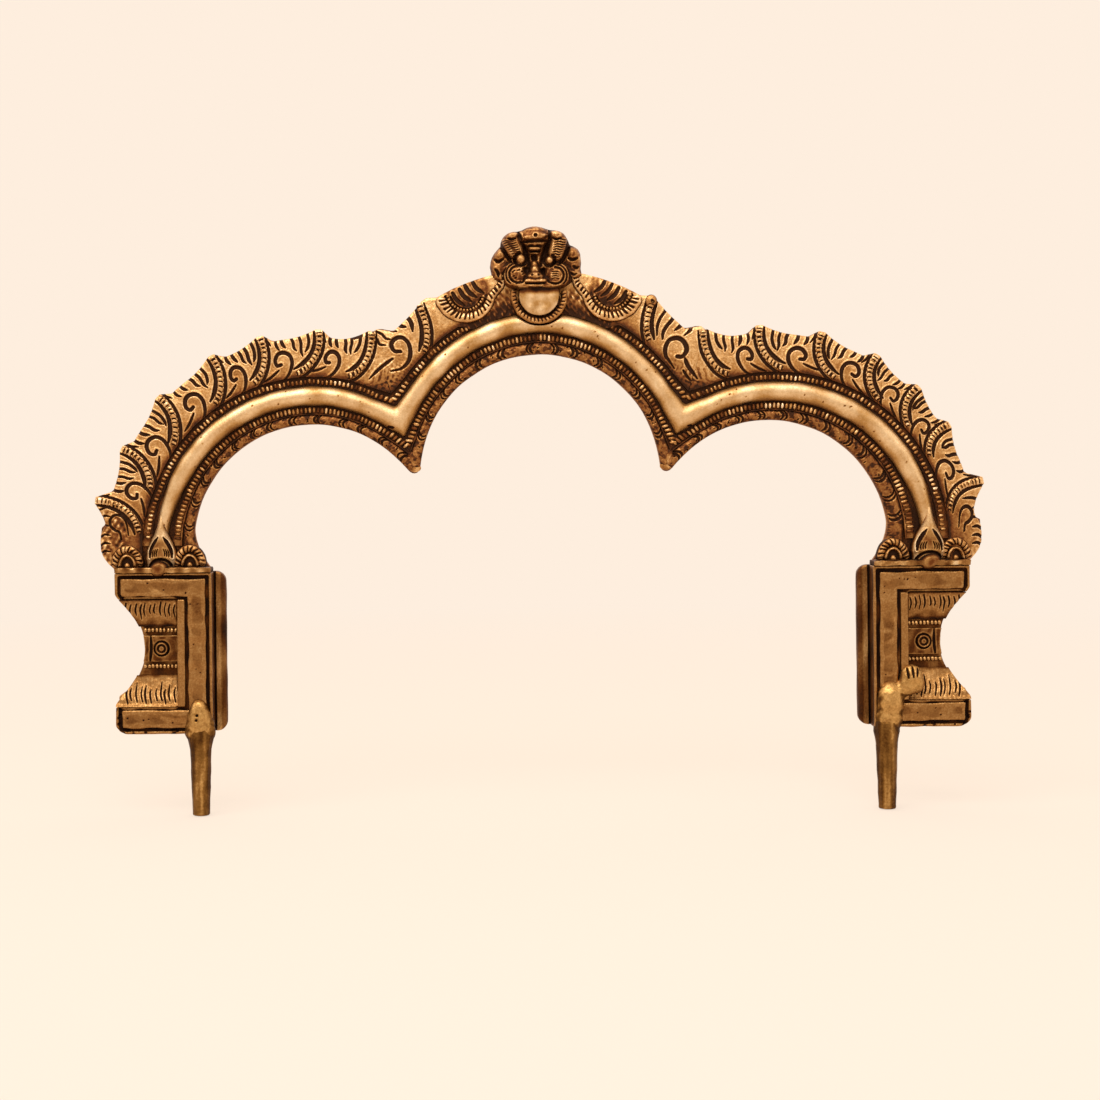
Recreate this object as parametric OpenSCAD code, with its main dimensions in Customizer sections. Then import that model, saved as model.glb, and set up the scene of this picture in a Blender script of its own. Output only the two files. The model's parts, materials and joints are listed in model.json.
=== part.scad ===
// Brass prabhavali: a trefoil arch with a flame edge, standing on two pegged foot blocks.
// The front faces -Y and the pegs point down. The origin lies midway between the pegs,
// on the plane where the blocks sit, and on the pegs' own centre plane.

/* [Arch] */
// Clear radius of each of the three lobes
lobe_r = 30; // [26:0.5:34]
// How far each lobe reaches past the line midway to the next lobe
lobe_lap = 0.25; // [0.1:0.05:1]
// Height of the crown lobe's centre above the side lobes' centres
crown_rise = 17; // [14:0.5:20]
// Height of the side lobes' centres above the tops of the blocks
lobe_lift = 6.5; // [6:0.25:8]
// Thickness of the arch plate
plate_t = 3; // [2:0.25:4]
// Radius of the rounded tips of the two cusps
cusp_r = 1.8; // [1.2:0.1:2.4]

/* [Mouldings round the lobes] */
// Width of the petal band at the opening
petal_w = 3; // [2:0.25:4]
// Thickness of the petal band
petal_t = 0.8; // [0.5:0.1:1.2]
// Width of the bevel along the petal band's inner edge
petal_bevel = 0.6; // [0.2:0.1:1]
// Width of the inner beading
inner_bead_w = 2.5; // [2:0.25:3.5]
// Width of the smooth half-round roll
roll_w = 5.25; // [4:0.25:7]
// Width of the outer beading
outer_bead_w = 2.75; // [2:0.25:3.5]
// Thickness of the flat strip under the beads
strip_t = 0.5; // [0.5:0.1:0.8]
// Radius of one bead, a short half-round bar across the strip
bead_r = 0.4; // [0.3:0.05:0.5]
// Distance from bead to bead
bead_pitch = 1.25; // [1.1:0.05:2]
// Bare margin of the strip at each end of a bead
bead_margin = 0.3; // [0.2:0.05:0.5]

/* [Flame edge] */
// Width of the side lobes' flame field outside the outer beading
flame_w = 8.25; // [7:0.25:10]
// Width of the crown lobe's field outside the outer beading
crown_w = 7.75; // [7:0.25:9]
// Height of the lowest tongue on each side
first_rise = 4; // [2:0.25:5]
// Height of the other tongues on the side lobes
tip_rise = 2; // [1:0.25:3]
// Height of the tongue between a side lobe and the crown
join_rise = 3.5; // [2:0.25:4]
// Height of the tongue beside a garland
crown_tip_rise = 1.25; // [0.5:0.25:2]
// How far the edge stands out below the lowest tongue
springer_bulge = 1.5; // [0.5:0.25:2]
// Width of a tongue's midrib
rib_w = 1.6; // [1:0.1:2]
// Height of a tongue's midrib
rib_t = 0.9; // [0.5:0.1:1.5]
// Sideways bow of a midrib
rib_bow = 1.2; // [0.6:0.1:1.6]

/* [Foot blocks] */
// Height of a block
block_h = 40; // [36:0.5:44]
// Width of a block at its top
block_w = 24; // [22:0.5:26]
// Thickness of the block in front of its back slab
block_d = 5; // [4:0.25:7]
// How far a block stands inside the lobe above it
block_inset = 5; // [3:0.25:6]
// Thickness of the back slab
slab_t = 3; // [2:0.25:4]
// How far the back slab projects beyond the block's inner side
slab_in = 3; // [1.5:0.25:4]
// Corner radius of block and slab
corner_r = 2.5; // [1:0.25:3]
// Radius of the hollow in the block's outer side
waist_r = 14; // [12:0.5:16]
// Depth of that hollow
waist_cut = 7; // [5:0.25:8]
// Height of the waist above the middle of the carved panel
waist_lift = 1; // [0:0.25:1.25]
// Height of the ledge on top of the block
ledge_h = 1.25; // [1:0.25:2]
// How far the ledge overhangs the block's front
ledge_out = 1; // [0.5:0.25:2]

/* [Block front] */
// Width of the plain border round the block front
border_w = 0.7; // [0.6:0.1:1]
// Width of the groove on each side of the frame strip
groove_w = 1; // [0.6:0.1:1.2]
// Width of the C-shaped frame strip
frame_w = 4; // [3:0.25:4.5]
// Thickness of the frame strip, and depth of the groove round it
frame_t = 1; // [0.6:0.1:1.5]
// Width of the raised stile beside the carved panel
stile_w = 1.9; // [1.2:0.1:2.5]
// Depth of the carved panel's floor behind the block front
panel_depth = 3; // [2:0.25:3.5]
// Height of each reeded cove above and below the waist
cove_h = 5.5; // [4.5:0.25:6.5]
// Thickness of the flat waist panel
waist_t = 0.6; // [0.4:0.1:1]
// Height of the flat waist panel
waist_h = 6.5; // [5:0.25:8]
// Radius of the ringed boss on the waist panel
boss_r = 1.75; // [1.2:0.1:2.2]
// Radius of the pearls above and below the waist panel
pearl_r = 0.5; // [0.4:0.05:0.6]
// Distance from pearl to pearl
pearl_pitch = 1.2; // [1.2:0.05:1.6]

/* [Pegs] */
// Radius of a peg
peg_r = 2.5; // [2:0.1:3]
// Reach of a peg below the block
peg_len = 20.25; // [15:0.25:30]
// Thickness of the block beside the peg's tang
peg_wall = 0.6; // [0.5:0.1:1.5]
// Radius of the peg's tang, eased so that it enters the block
tang_r = 2.25; // [1.8:0.05:2.3]
// Height of the tang inside the block
tang_h = 7; // [5:0.25:9]
// Depth of the peg's axis behind the block front
tang_sink = 1; // [0.5:0.1:1.5]
// Clearance round the tang
seat_gap = 0.3; // [0.2:0.05:0.4]
// Thickness of the braze round the tang
braze_t = 1.25; // [1:0.05:1.5]

/* [Springing ornaments] */
// Height of the lotus bud
bud_h = 11; // [9:0.25:13]
// Width of the lotus bud
bud_w = 6.8; // [6:0.2:7.2]
// Radius of the ribbed scrolls beside the bud
scroll_r = 3.6; // [3:0.1:3.8]
// Distance of each scroll from the bud
scroll_off = 8; // [7.6:0.1:9]
// Width of a scroll's ribbed arch
scroll_w = 1.5; // [1:0.1:2]
// Thickness of a scroll's ribbed arch
scroll_t = 1.2; // [0.8:0.1:1.6]
// Radius of a scroll's eye
eye_r = 1.2; // [0.8:0.1:1.4]
// Height of the bud's belly above the ledge
bud_belly = 3.5; // [2.5:0.25:4.5]

/* [Lion mask] */
// Radius of the mask's domed face
mask_r = 9.5; // [9:0.25:10]
// Height of the mask's centre above the crown field's edge
mask_lift = 0.75; // [0:0.25:1.5]
// Height of the dome above the plate
mask_h = 4; // [3:0.25:5]
// Radius of the knob on the mask's crown
knob_r = 4; // [3:0.25:4.5]
// Radius of a brow at its outer end
brow_r = 2.9; // [2.4:0.1:3.2]
// Radius of a brow at the bridge of the nose
bridge_r = 1.3; // [1:0.1:1.6]
// Radius of an eyeball
eyeball_r = 1.2; // [0.9:0.1:1.5]
// Radius of a cheek
cheek_r = 2.3; // [1.9:0.1:2.6]
// Radius of the nose at its nostrils
nose_r = 1.3; // [1:0.1:1.6]
// Length of the nose
nose_len = 4.5; // [3.5:0.25:5]
// Radius of the rolled lip
lip_r = 1.1; // [0.8:0.1:1.4]
// Radius of the lip's curve
lip_bend = 7.6; // [7:0.1:8.2]
// Radius of an ear
ear_r = 2.7; // [2.2:0.1:3]

/* [Pendant and garlands] */
// Clearance of the rolls round the pendant and the lotus buds
fit_gap = 0.1; // [0.05:0.05:0.2]
// Radius of the pendant disc
disc_r = 5; // [4:0.25:6]
// Distance of the pendant's centre below the mask's centre
disc_drop = 7.5; // [7:0.25:9]
// Gap between the pendant disc and its ribbed rim
disc_gap = 0.7; // [0.4:0.1:1]
// Width of the pendant's ribbed rim
rim_w = 1.4; // [1:0.1:2]
// Height of the pendant above the crest of the roll
disc_proud = 0.6; // [0.3:0.1:1]
// Outer radius of a garland loop
garland_r = 7.5; // [6.5:0.25:8]
// Width of a garland's ribbed band
garland_w = 2.5; // [2:0.25:3]
// Width of the plain fillet inside a garland's band
fillet_w = 0.9; // [0.6:0.1:1.2]
// Distance of a garland's centre inside the crown field's edge
garland_drop = 2; // [1.5:0.25:3]
// Angle of a garland loop from the mask, round the crown lobe
garland_a = 22.4; // [21.8:0.2:24]

/* [Hidden] */
$fn = 96;
// Roundness of the beads, pearls and midrib tips
bead_fn = 24;
// How far a cutting shape runs past the face that it cuts
over = 1;
// Angles of the tongues round each side lobe, cut by hand and so not quite alike
left_tips = [12, 27, 44, 62, 76, 92, 106];
right_tips = [15, 32, 45, 59, 75, 92, 107];
// Angles of the two tongues on each flank of the crown lobe
crown_tips = [41.5, 57];
// Angles over which a tongue climbs, stays level and drops
tip_climb = 8;
tip_flat = 0.8;
tip_drop = 2.5;
// Angle by which a midrib's root lags behind its tip, round a side lobe and on the crown
rib_lag = 8;
crown_lag = 10.4;
// Radius of a midrib's round tip and its distance inside the edge, as shares of its width
rib_tip = 0.55;
rib_inset = 0.7;
// Step of the flame edge in degrees
edge_step = 1;
// Angle below which the springer bulges
springer_a = 6;
// Angle at which the mouldings spring and where the foot leaves the lobe
spring_a = 0;
foot_a = 8;
// Angle where the crown's outer beading gives way to the garland
crown_bead_end = 59;
// Places of the mask's features, across and up from its centre
knob_at = [0, 6];
brow_at = [5.6, 6];
bridge_at = [2.4, 1.6];
eyeball_at = [3.6, 1.6];
cheek_at = [4.6, -2.1];
nose_at = [0, -2.9];
lip_at = [0, 2.5];
ear_at = [8.8, 1.2];
// Width of a brow's bar where it meets the round end, as a share of that end
brow_fit = 0.98;
// Angles between which the lip, a garland and the pendant's rim run
lip_span = [215, 325];
garland_span = [165, 355];
rim_span = [170, 370];
// Numbers of ribs across a garland and a scroll
garland_ribs = 17;
scroll_ribs = 10;
// Angle left bare at the ends of a ribbed garland
rib_end_a = 5;
// Height of a garland's fillet, as a share of its band
fillet_share = 0.8;
// Radius of a cove's hollow, as a share of the carved panel's depth
hollow_share = 0.8;
// Width of the boss's ring and radius of its eye, as a share of the boss
boss_share = 0.35;
// Height of the boss above the waist panel
boss_t = 0.5;
// Margin of the fillet above and below its pearls
pearl_margin = 0.1;
// Bevel at the free end of a peg
peg_bevel = 0.4;
// Angle by which the edges of neighbouring lobes stop short of the line between them
join_trim = 3;
// Steps of a curved stretch of outline
curve_steps = 8;
far = 300;

// Radii of the mouldings, from the opening outwards
petal_r = lobe_r + petal_w;
roll_in = petal_r + inner_bead_w;
roll_mid = roll_in + roll_w / 2;
roll_out = roll_in + roll_w;
field_r = roll_out + outer_bead_w;
flame_r = field_r + flame_w;
crown_r = field_r + crown_w;

// Centres of the lobes in the front plane
half_gap = lobe_r - lobe_lap;
lobe_x = sqrt(4 * half_gap * half_gap - crown_rise * crown_rise);
lobe_z = block_h + lobe_lift;
crown_z = lobe_z + crown_rise;
lobe_c = [lobe_x, lobe_z];
crown_c = [0, crown_z];
mitre_a = atan2(-crown_rise, lobe_x);
cusp_run = sqrt(pow(lobe_r + cusp_r, 2) - half_gap * half_gap);
cusp_c = (lobe_c + crown_c) / 2 + cusp_run * [-sin(mitre_a), cos(mitre_a)];

// Depths in front of the flat back
front_h = slab_t + block_d;
peg_depth = front_h - tang_sink;
ledge_front = front_h + ledge_out;

// Places on the right-hand block
block_x = lobe_x + lobe_r - block_inset;
block_end = block_x + block_w;
peg_x = block_x + peg_wall + peg_r;
frame_x = block_x + border_w + groove_w;
panel_x = frame_x + frame_w + groove_w + stile_w;
frame_low = border_w + groove_w;
frame_top = block_h - border_w - groove_w;
panel_low = frame_low + frame_w + groove_w;
panel_top = frame_top - frame_w - groove_w;
panel_floor = front_h - panel_depth;
waist_z = (panel_low + panel_top) / 2 + waist_lift;
waist_low = waist_z - waist_h / 2;
waist_top = waist_z + waist_h / 2;
waist_x = block_end - waist_cut;
boss_x = (panel_x + waist_x) / 2;
pearl_end = waist_x + waist_r - sqrt(waist_r * waist_r - waist_h * waist_h / 4) - pearl_r - pearl_margin;
braze_r = tang_r + braze_t;

// Places of the ornaments
bud_x = lobe_x + roll_mid;
bud_z = block_h + ledge_h;
bud_top = bud_h - bud_belly;
bud_arc = (bud_top * bud_top + bud_w * bud_w / 4) / bud_w;
mask_z = crown_z + crown_r + mask_lift;
mask_c = [0, mask_z];
dome_r = (mask_r * mask_r + mask_h * mask_h) / (2 * mask_h);
disc_z = mask_z - disc_drop;
rim_in = disc_r + disc_gap;
rim_out = rim_in + rim_w;
garland_c = crown_c + (crown_r - garland_drop) * [sin(garland_a), cos(garland_a)];
pendant_t = roll_w / 2 + disc_proud;

// Colours of the brass as it shows
bright = "#E0B878";
field = "#C9974F";
dark = "#8A5E2E";

// A drawing in the front plane, given depth from near to far of the flat back
module relief(near, out) {
    translate([0, peg_depth - near, 0]) rotate([90, 0, 0]) linear_extrude(out - near) children();
}

// A profile of radius and height, swept about a centre in the front plane
module sweep(centre, base, from, to) {
    translate([centre[0], peg_depth - base, centre[1]]) rotate([90, 0, 0]) rotate([0, 0, from])
        rotate_extrude(angle = to - from) children();
}

// A point in the front plane at a given depth
function at(p, depth) = [p[0], peg_depth - depth, p[1]];

// The left-hand copy of a right-hand piece
module on_left() {
    mirror([1, 0, 0]) children();
}

// The half of the front plane that belongs to the right-hand lobe
module lobe_side() {
    translate((lobe_c + crown_c) / 2) rotate(mitre_a) translate([0, -far]) square([far, 2 * far]);
}

// The part of the front plane that belongs to the crown lobe
module crown_side() {
    difference() {
        translate([-far, 0]) square([2 * far, 2 * far]);
        lobe_side();
        mirror([1, 0]) lobe_side();
    }
}

// Angle at which a moulding of the given radius meets the mitre, seen from a lobe's centre
function mitre_reach(r) = acos(half_gap / r);
function lobe_end(r) = 180 + mitre_a - mitre_reach(r);
function crown_start(r) = mitre_a + mitre_reach(r);
// Angles where the side lobes' edge ends and the crown's begins
join_a = lobe_end(flame_r) - join_trim;
crown_a = crown_start(crown_r) + join_trim;

// Height of a tongue at an angle d past its tip
function tongue(d) = d < -tip_flat ? pow(max(0, 1 + (d + tip_flat) / tip_climb), 2)
    : d > tip_flat ? max(0, 1 - (d - tip_flat) / tip_drop) : 1;
function rise(i, count) = i == 0 ? first_rise : i == count - 1 ? join_rise : tip_rise;
function tallest(a, tips) = max([for (i = [0:len(tips) - 1]) rise(i, len(tips)) * tongue(a - tips[i])]);
function side_edge(a, tips) = flame_r + max(a < springer_a ? springer_bulge : 0, tallest(a, tips));
function crown_edge(a) = crown_r
    + max(join_rise * tongue(a - crown_tips[0]), crown_tip_rise * tongue(a - crown_tips[1]));
function polar(c, r, a) = c + r * [cos(a), sin(a)];
// Points of a curve from p to q that leaves and arrives along the lines to its corner
function curve(p, corner, q) = [for (i = [0:curve_steps]) let (t = i / curve_steps)
    (1 - t) * (1 - t) * p + 2 * t * (1 - t) * corner + t * t * q];

// Points of the left-hand copy of a right-hand outline, in the order that closes it
function left_hand(points) = [for (i = [len(points) - 1:-1:0]) [-points[i][0], points[i][1]]];

// Flame edge of one side lobe, from the top of its block to the valley beside the crown
function side_points(tips) = let (bulge = polar(lobe_c, flame_r + springer_bulge, spring_a))
    concat(curve([block_end, block_h], [bulge[0], (block_h + bulge[1]) / 2], bulge),
        [for (a = [spring_a + edge_step:edge_step:join_a]) polar(lobe_c, side_edge(a, tips), a)]);

// Flame-edged outline of the whole arch
module arch_outline() {
    polygon(concat(side_points(right_tips),
        [for (a = [crown_a:edge_step:180 - crown_a]) polar(crown_c, crown_edge(min(a, 180 - a)), a)],
        left_hand(side_points(left_tips))));
}

// The trefoil opening of one half, with the cusp's rounded tip left standing
module half_opening() {
    translate(crown_c) circle(lobe_r);
    difference() {
        polygon([crown_c, cusp_c, lobe_c, [lobe_x, 0], [0, 0]]);
        translate(cusp_c) circle(cusp_r);
    }
    difference() {
        union() {
            translate(lobe_c) circle(lobe_r);
            square([block_x, lobe_z]);
        }
        inner_foot();
    }
}

// The foot that carries the arch's inner edge out onto the block
module inner_foot() {
    top = polar(lobe_c, lobe_r, foot_a);
    polygon(concat(curve(top, [top[0], (top[1] + block_h) / 2], [block_x, block_h]),
        [[bud_x, 0], [bud_x, block_h], polar(lobe_c, petal_r, foot_a)]));
}

module arch_plate() {
    color(field) relief(0, plate_t) difference() {
        union() {
            arch_outline();
            translate(mask_c) circle(mask_r);
        }
        half_opening();
        mirror([1, 0]) half_opening();
    }
}

// Cross-sections of the mouldings, as radius and height above the plate
module petal_profile() {
    polygon([[lobe_r, 0], [petal_r, 0], [petal_r, petal_t], [lobe_r + petal_bevel, petal_t],
        [lobe_r, petal_t - petal_bevel / 2]]);
}

module roll_profile() {
    intersection() {
        translate([roll_mid, 0]) circle(roll_w / 2);
        translate([roll_in, 0]) square([roll_w, roll_w]);
    }
}

// A row of half-round bars lying across a curved band, between two angles
module ribs(centre, depth, inner, width, span, count) {
    for (i = [0:count - 1])
        translate(at(centre, depth)) rotate([90, 0, 0])
            rotate([0, 0, span[0] + (span[1] - span[0]) * i / (count - 1)]) rotate([0, 90, 0])
                translate([0, 0, inner + bead_margin])
                    cylinder(r = bead_r, h = width - 2 * bead_margin, $fn = bead_fn);
}

// A flat strip with a row of beads across it
module beading(centre, inner, width, from, to, span) {
    count = floor((span[1] - span[0]) * PI / 180 * (inner + width / 2) / bead_pitch);
    sweep(centre, plate_t, from, to) translate([inner, 0]) square([width, strip_t]);
    ribs(centre, plate_t + strip_t, inner, width, span, count);
}

// Angle taken up by half a bead and its margin
function bead_turn(r) = (bead_r + bead_margin) / r * 180 / PI;

module side_beading(inner, width) {
    outer = inner + width;
    intersection() {
        beading(lobe_c, inner, width, spring_a, 180,
            [spring_a + bead_turn(inner), lobe_end(outer) - bead_turn(inner)]);
        relief(plate_t, plate_t + roll_w) lobe_side();
    }
}

module bud_shape(grow) {
    translate([bud_x, bud_z + bud_belly]) intersection_for (s = [-1, 1])
        translate([s * (bud_arc - bud_w / 2), 0]) circle(bud_arc + grow);
}

module left_petal_band() {
    color(field) on_left() side_petal_band();
}

module right_petal_band() {
    color(field) side_petal_band();
}

module side_petal_band() {
    intersection() {
        sweep(lobe_c, plate_t, foot_a, lobe_end(lobe_r + cusp_r)) petal_profile();
        relief(plate_t, plate_t + roll_w) lobe_side();
    }
}

module crown_petal_band() {
    start = crown_start(lobe_r + cusp_r);
    color(field) intersection() {
        sweep(crown_c, plate_t, start, 180 - start) petal_profile();
        relief(plate_t, plate_t + roll_w) crown_side();
    }
}

module left_inner_beading() {
    color(field) on_left() side_beading(petal_r, inner_bead_w);
}

module right_inner_beading() {
    color(field) side_beading(petal_r, inner_bead_w);
}

module crown_inner_beading() {
    start = crown_start(roll_in) + bead_turn(petal_r);
    color(field) intersection() {
        beading(crown_c, petal_r, inner_bead_w, 0, 180, [start, 180 - start]);
        relief(plate_t, plate_t + roll_w) crown_side();
    }
}

// The roll of a side lobe, forked at its foot round the lotus bud
module side_roll() {
    difference() {
        intersection() {
            sweep(lobe_c, plate_t, spring_a, 180) roll_profile();
            relief(plate_t, plate_t + roll_w) lobe_side();
        }
        relief(plate_t - over, plate_t + roll_w) bud_shape(fit_gap);
    }
}

module left_roll() {
    color(bright) on_left() side_roll();
}

module right_roll() {
    color(bright) side_roll();
}

// The crown's roll, cut away under the pendant
module crown_roll() {
    color(bright) difference() {
        intersection() {
            sweep(crown_c, plate_t, 0, 180) roll_profile();
            relief(plate_t, plate_t + roll_w) crown_side();
        }
        relief(plate_t - over, plate_t + roll_w) translate([0, disc_z]) circle(rim_out + fit_gap);
    }
}

module left_outer_beading() {
    color(field) on_left() side_beading(roll_out, outer_bead_w);
}

module right_outer_beading() {
    color(field) side_beading(roll_out, outer_bead_w);
}

module crown_flank_beading() {
    turn = bead_turn(roll_out);
    intersection() {
        beading(crown_c, roll_out, outer_bead_w, 0, crown_bead_end,
            [crown_start(field_r) + turn, crown_bead_end - turn]);
        relief(plate_t, plate_t + roll_w) crown_side();
    }
}

module crown_left_beading() {
    color(field) on_left() crown_flank_beading();
}

module crown_right_beading() {
    color(field) crown_flank_beading();
}

// A midrib bowed between its root and a rounded tip
module midrib(root, tip) {
    span = norm(tip - root);
    bend = (span * span / 4 + rib_bow * rib_bow) / (2 * rib_bow);
    half = asin(span / 2 / bend);
    heading = atan2(tip[1] - root[1], tip[0] - root[0]);
    relief(plate_t, plate_t + rib_t) translate((root + tip) / 2) rotate(heading - 90) {
        translate([-bend + rib_bow, 0]) intersection() {
            difference() {
                circle(bend + rib_w / 2);
                circle(bend - rib_w / 2);
            }
            polygon([[0, 0], polar([0, 0], 2 * bend, -half), [2 * bend, 0], polar([0, 0], 2 * bend, half)]);
        }
        translate([0, span / 2]) circle(rib_w * rib_tip, $fn = bead_fn);
    }
}

// All the midribs of one side, from their roots at the beading
module flame_ribs(tips) {
    root_r = field_r + rib_w / 2;
    inset = rib_w * rib_inset;
    for (i = [0:len(tips) - 1])
        midrib(polar(lobe_c, root_r, tips[i] - rib_lag),
            polar(lobe_c, flame_r + rise(i, len(tips)) - inset, tips[i]));
    midrib(polar(crown_c, root_r, crown_tips[1] - crown_lag),
        polar(crown_c, crown_r + crown_tip_rise - inset, crown_tips[1]));
}

module left_flame_ribs() {
    color(field) on_left() flame_ribs(left_tips);
}

module right_flame_ribs() {
    color(field) flame_ribs(right_tips);
}

// Everything in front of the plate
module fore() {
    relief(plate_t, plate_t + far) translate([-far, 0]) square([2 * far, 2 * far]);
}

// A ball at a place on the mask, its centre at a given depth
module mask_ball(place, depth, r) {
    translate(at(mask_c + place, depth)) sphere(r);
}

// The mask's domed face, from which its features stand out
module dome() {
    intersection() {
        mask_ball([0, 0], plate_t + mask_h - dome_r, dome_r);
        fore();
    }
}

module mask_face() {
    crest = plate_t + mask_h;
    color(field) {
        dome();
        intersection() {
            union() {
                mask_ball(knob_at, plate_t + knob_r / 2, knob_r);
                for (s = [-1, 1])
                    mask_ball([s * cheek_at[0], cheek_at[1]], crest - cheek_r / 2, cheek_r);
                translate(at(mask_c + nose_at, crest - nose_r / 2))
                    cylinder(r1 = nose_r, r2 = nose_r / 2, h = nose_len);
            }
            fore();
        }
        sweep(mask_c + lip_at, plate_t + lip_r, lip_span[0], lip_span[1])
            translate([lip_bend, 0]) circle(lip_r);
    }
}

// A pair of brows, each a tapered bar rising from the bridge of the nose to a round end
module mask_brows() {
    depth = plate_t + mask_h / 2;
    span = brow_at - bridge_at;
    lean = atan2(span[0], span[1]);
    color(field) difference() {
        intersection() {
            for (s = [0, 1]) mirror([s, 0, 0]) {
                mask_ball(brow_at, depth, brow_r);
                translate(at(mask_c + bridge_at, depth)) rotate([0, lean, 0])
                    cylinder(r1 = bridge_r, r2 = brow_r * brow_fit, h = norm(span));
            }
            fore();
        }
        mask_face();
        mask_eyes();
    }
}

module mask_eyes() {
    color(bright) for (s = [-1, 1]) difference() {
        mask_ball([s * eyeball_at[0], eyeball_at[1]], plate_t + mask_h - eyeball_r / 2, eyeball_r);
        dome();
    }
}

module mask_ears() {
    color(field) difference() {
        intersection() {
            for (s = [-1, 1]) mask_ball([s * ear_at[0], ear_at[1]], plate_t, ear_r);
            fore();
        }
        dome();
        for (s = [0, 1]) mirror([s, 0, 0]) mask_ball(brow_at, plate_t + mask_h / 2, brow_r);
    }
}

module pendant_disc() {
    color(bright) difference() {
        relief(plate_t, plate_t + pendant_t) translate([0, disc_z]) circle(disc_r);
        mask_face();
    }
}

module pendant_rim() {
    color(field) difference() {
        sweep([0, disc_z], plate_t, rim_span[0], rim_span[1])
            translate([rim_in, 0]) square([rim_w, pendant_t]);
        mask_face();
    }
}

// A garland loop: a ribbed band hung in a U, with a smooth fillet inside it
module garland() {
    inner = garland_r - garland_w;
    color(field) {
        sweep(garland_c, plate_t, garland_span[0], garland_span[1]) {
            translate([inner, 0]) square([garland_w, rib_t]);
            translate([inner - fillet_w - bead_margin, 0]) square([fillet_w, rib_t * fillet_share]);
        }
        ribs(garland_c, plate_t + rib_t, inner, garland_w,
            garland_span + [rib_end_a, -rib_end_a], garland_ribs);
    }
}

module left_garland() {
    on_left() garland();
}

module right_garland() {
    garland();
}

// A pointed half-round bud standing on the ledge
module lotus_bud() {
    color(bright) translate(at([bud_x, bud_z], plate_t)) rotate([0, 0, 180]) rotate_extrude(angle = 180)
        intersection() {
            translate([bud_w / 2 - bud_arc, bud_belly]) circle(bud_arc);
            square([bud_w, bud_h]);
        }
}

module left_lotus_bud() {
    on_left() lotus_bud();
}

module right_lotus_bud() {
    lotus_bud();
}

// A ribbed half-arch round a shell and an eye, standing on the ledge
module scroll(off) {
    centre = [bud_x + off, bud_z];
    inner = scroll_r - scroll_w;
    color(field) {
        sweep(centre, plate_t, 0, 180) {
            translate([inner, 0]) square([scroll_w, scroll_t]);
            square([inner, scroll_t / 2]);
            square([eye_r, scroll_t]);
        }
        ribs(centre, plate_t + scroll_t, inner, scroll_w,
            [2 * rib_end_a, 180 - 2 * rib_end_a], scroll_ribs);
    }
}

module left_outer_scroll() {
    on_left() scroll(scroll_off);
}

module left_inner_scroll() {
    on_left() scroll(-scroll_off);
}

module right_inner_scroll() {
    scroll(-scroll_off);
}

module right_outer_scroll() {
    scroll(scroll_off);
}

// Front outline of a block, with its hollow waist and rounded lower corner
module block_outline(inner) {
    difference() {
        translate([inner, 0]) square([block_end - inner, block_h]);
        translate([waist_x + waist_r, waist_z]) circle(waist_r);
        translate([block_end - corner_r, 0]) difference() {
            translate([0, -over]) square([corner_r + over, corner_r + over]);
            translate([0, corner_r]) circle(corner_r);
        }
    }
}

// The tang's seat: a round channel, open to the front and the bottom of the block
module tang_seat(gap) {
    translate([peg_x, 0, -over]) cylinder(r = tang_r + gap, h = tang_h - tang_r + over);
    translate([peg_x, 0, tang_h - tang_r]) sphere(tang_r + gap);
}

// The C-shaped strip and, grown by the groove, the channel that it lies in
module frame_shape(grow) {
    out_x = block_end - border_w - groove_w;
    difference() {
        translate([frame_x - grow, frame_low - grow])
            square([out_x - frame_x + 2 * grow, frame_top - frame_low + 2 * grow]);
        translate([frame_x + frame_w + grow, frame_low + frame_w + grow])
            square([far, frame_top - frame_low - 2 * frame_w - 2 * grow]);
    }
}

module side_block() {
    color(dark) difference() {
        relief(slab_t, front_h) block_outline(block_x);
        relief(front_h - frame_t, front_h + over) frame_shape(groove_w);
        relief(panel_floor, front_h + over) translate([panel_x, panel_low])
            square([far, panel_top - panel_low]);
        tang_seat(seat_gap);
    }
}

module left_block() {
    on_left() side_block();
}

module right_block() {
    side_block();
}

module frame_strip() {
    color(dark) difference() {
        relief(front_h - frame_t, front_h) frame_shape(0);
        tang_seat(seat_gap);
    }
}

module left_frame_strip() {
    on_left() frame_strip();
}

module right_frame_strip() {
    frame_strip();
}

// A hollow moulding along the carved panel, full at the panel's edge and deep at the waist
module cove(edge_z, dir) {
    hollow_r = panel_depth * hollow_share;
    color(dark) intersection() {
        translate([panel_x, peg_depth - front_h, edge_z]) rotate([90, 0, 90])
            linear_extrude(block_w) difference() {
            translate([0, min(0, -dir * cove_h)]) square([panel_depth, cove_h]);
            translate([0, -dir * cove_h]) circle(hollow_r);
        }
        relief(panel_floor, front_h) block_outline(block_x);
    }
}

module left_upper_cove() {
    on_left() cove(panel_top, 1);
}

module right_upper_cove() {
    cove(panel_top, 1);
}

module left_lower_cove() {
    on_left() cove(panel_low, -1);
}

module right_lower_cove() {
    cove(panel_low, -1);
}

// The flat panel at the waist with its ringed boss
module waist_panel() {
    ring_w = boss_r * boss_share;
    color(dark) {
        relief(panel_floor, panel_floor + waist_t) intersection() {
            translate([panel_x, waist_low]) square([block_w, waist_h]);
            block_outline(block_x);
        }
        sweep([boss_x, waist_z], panel_floor, 0, 360) {
            translate([boss_r - ring_w, 0]) square([ring_w, waist_t + boss_t]);
            square([ring_w, waist_t + boss_t]);
        }
    }
}

module left_waist_panel() {
    on_left() waist_panel();
}

module right_waist_panel() {
    waist_panel();
}

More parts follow.
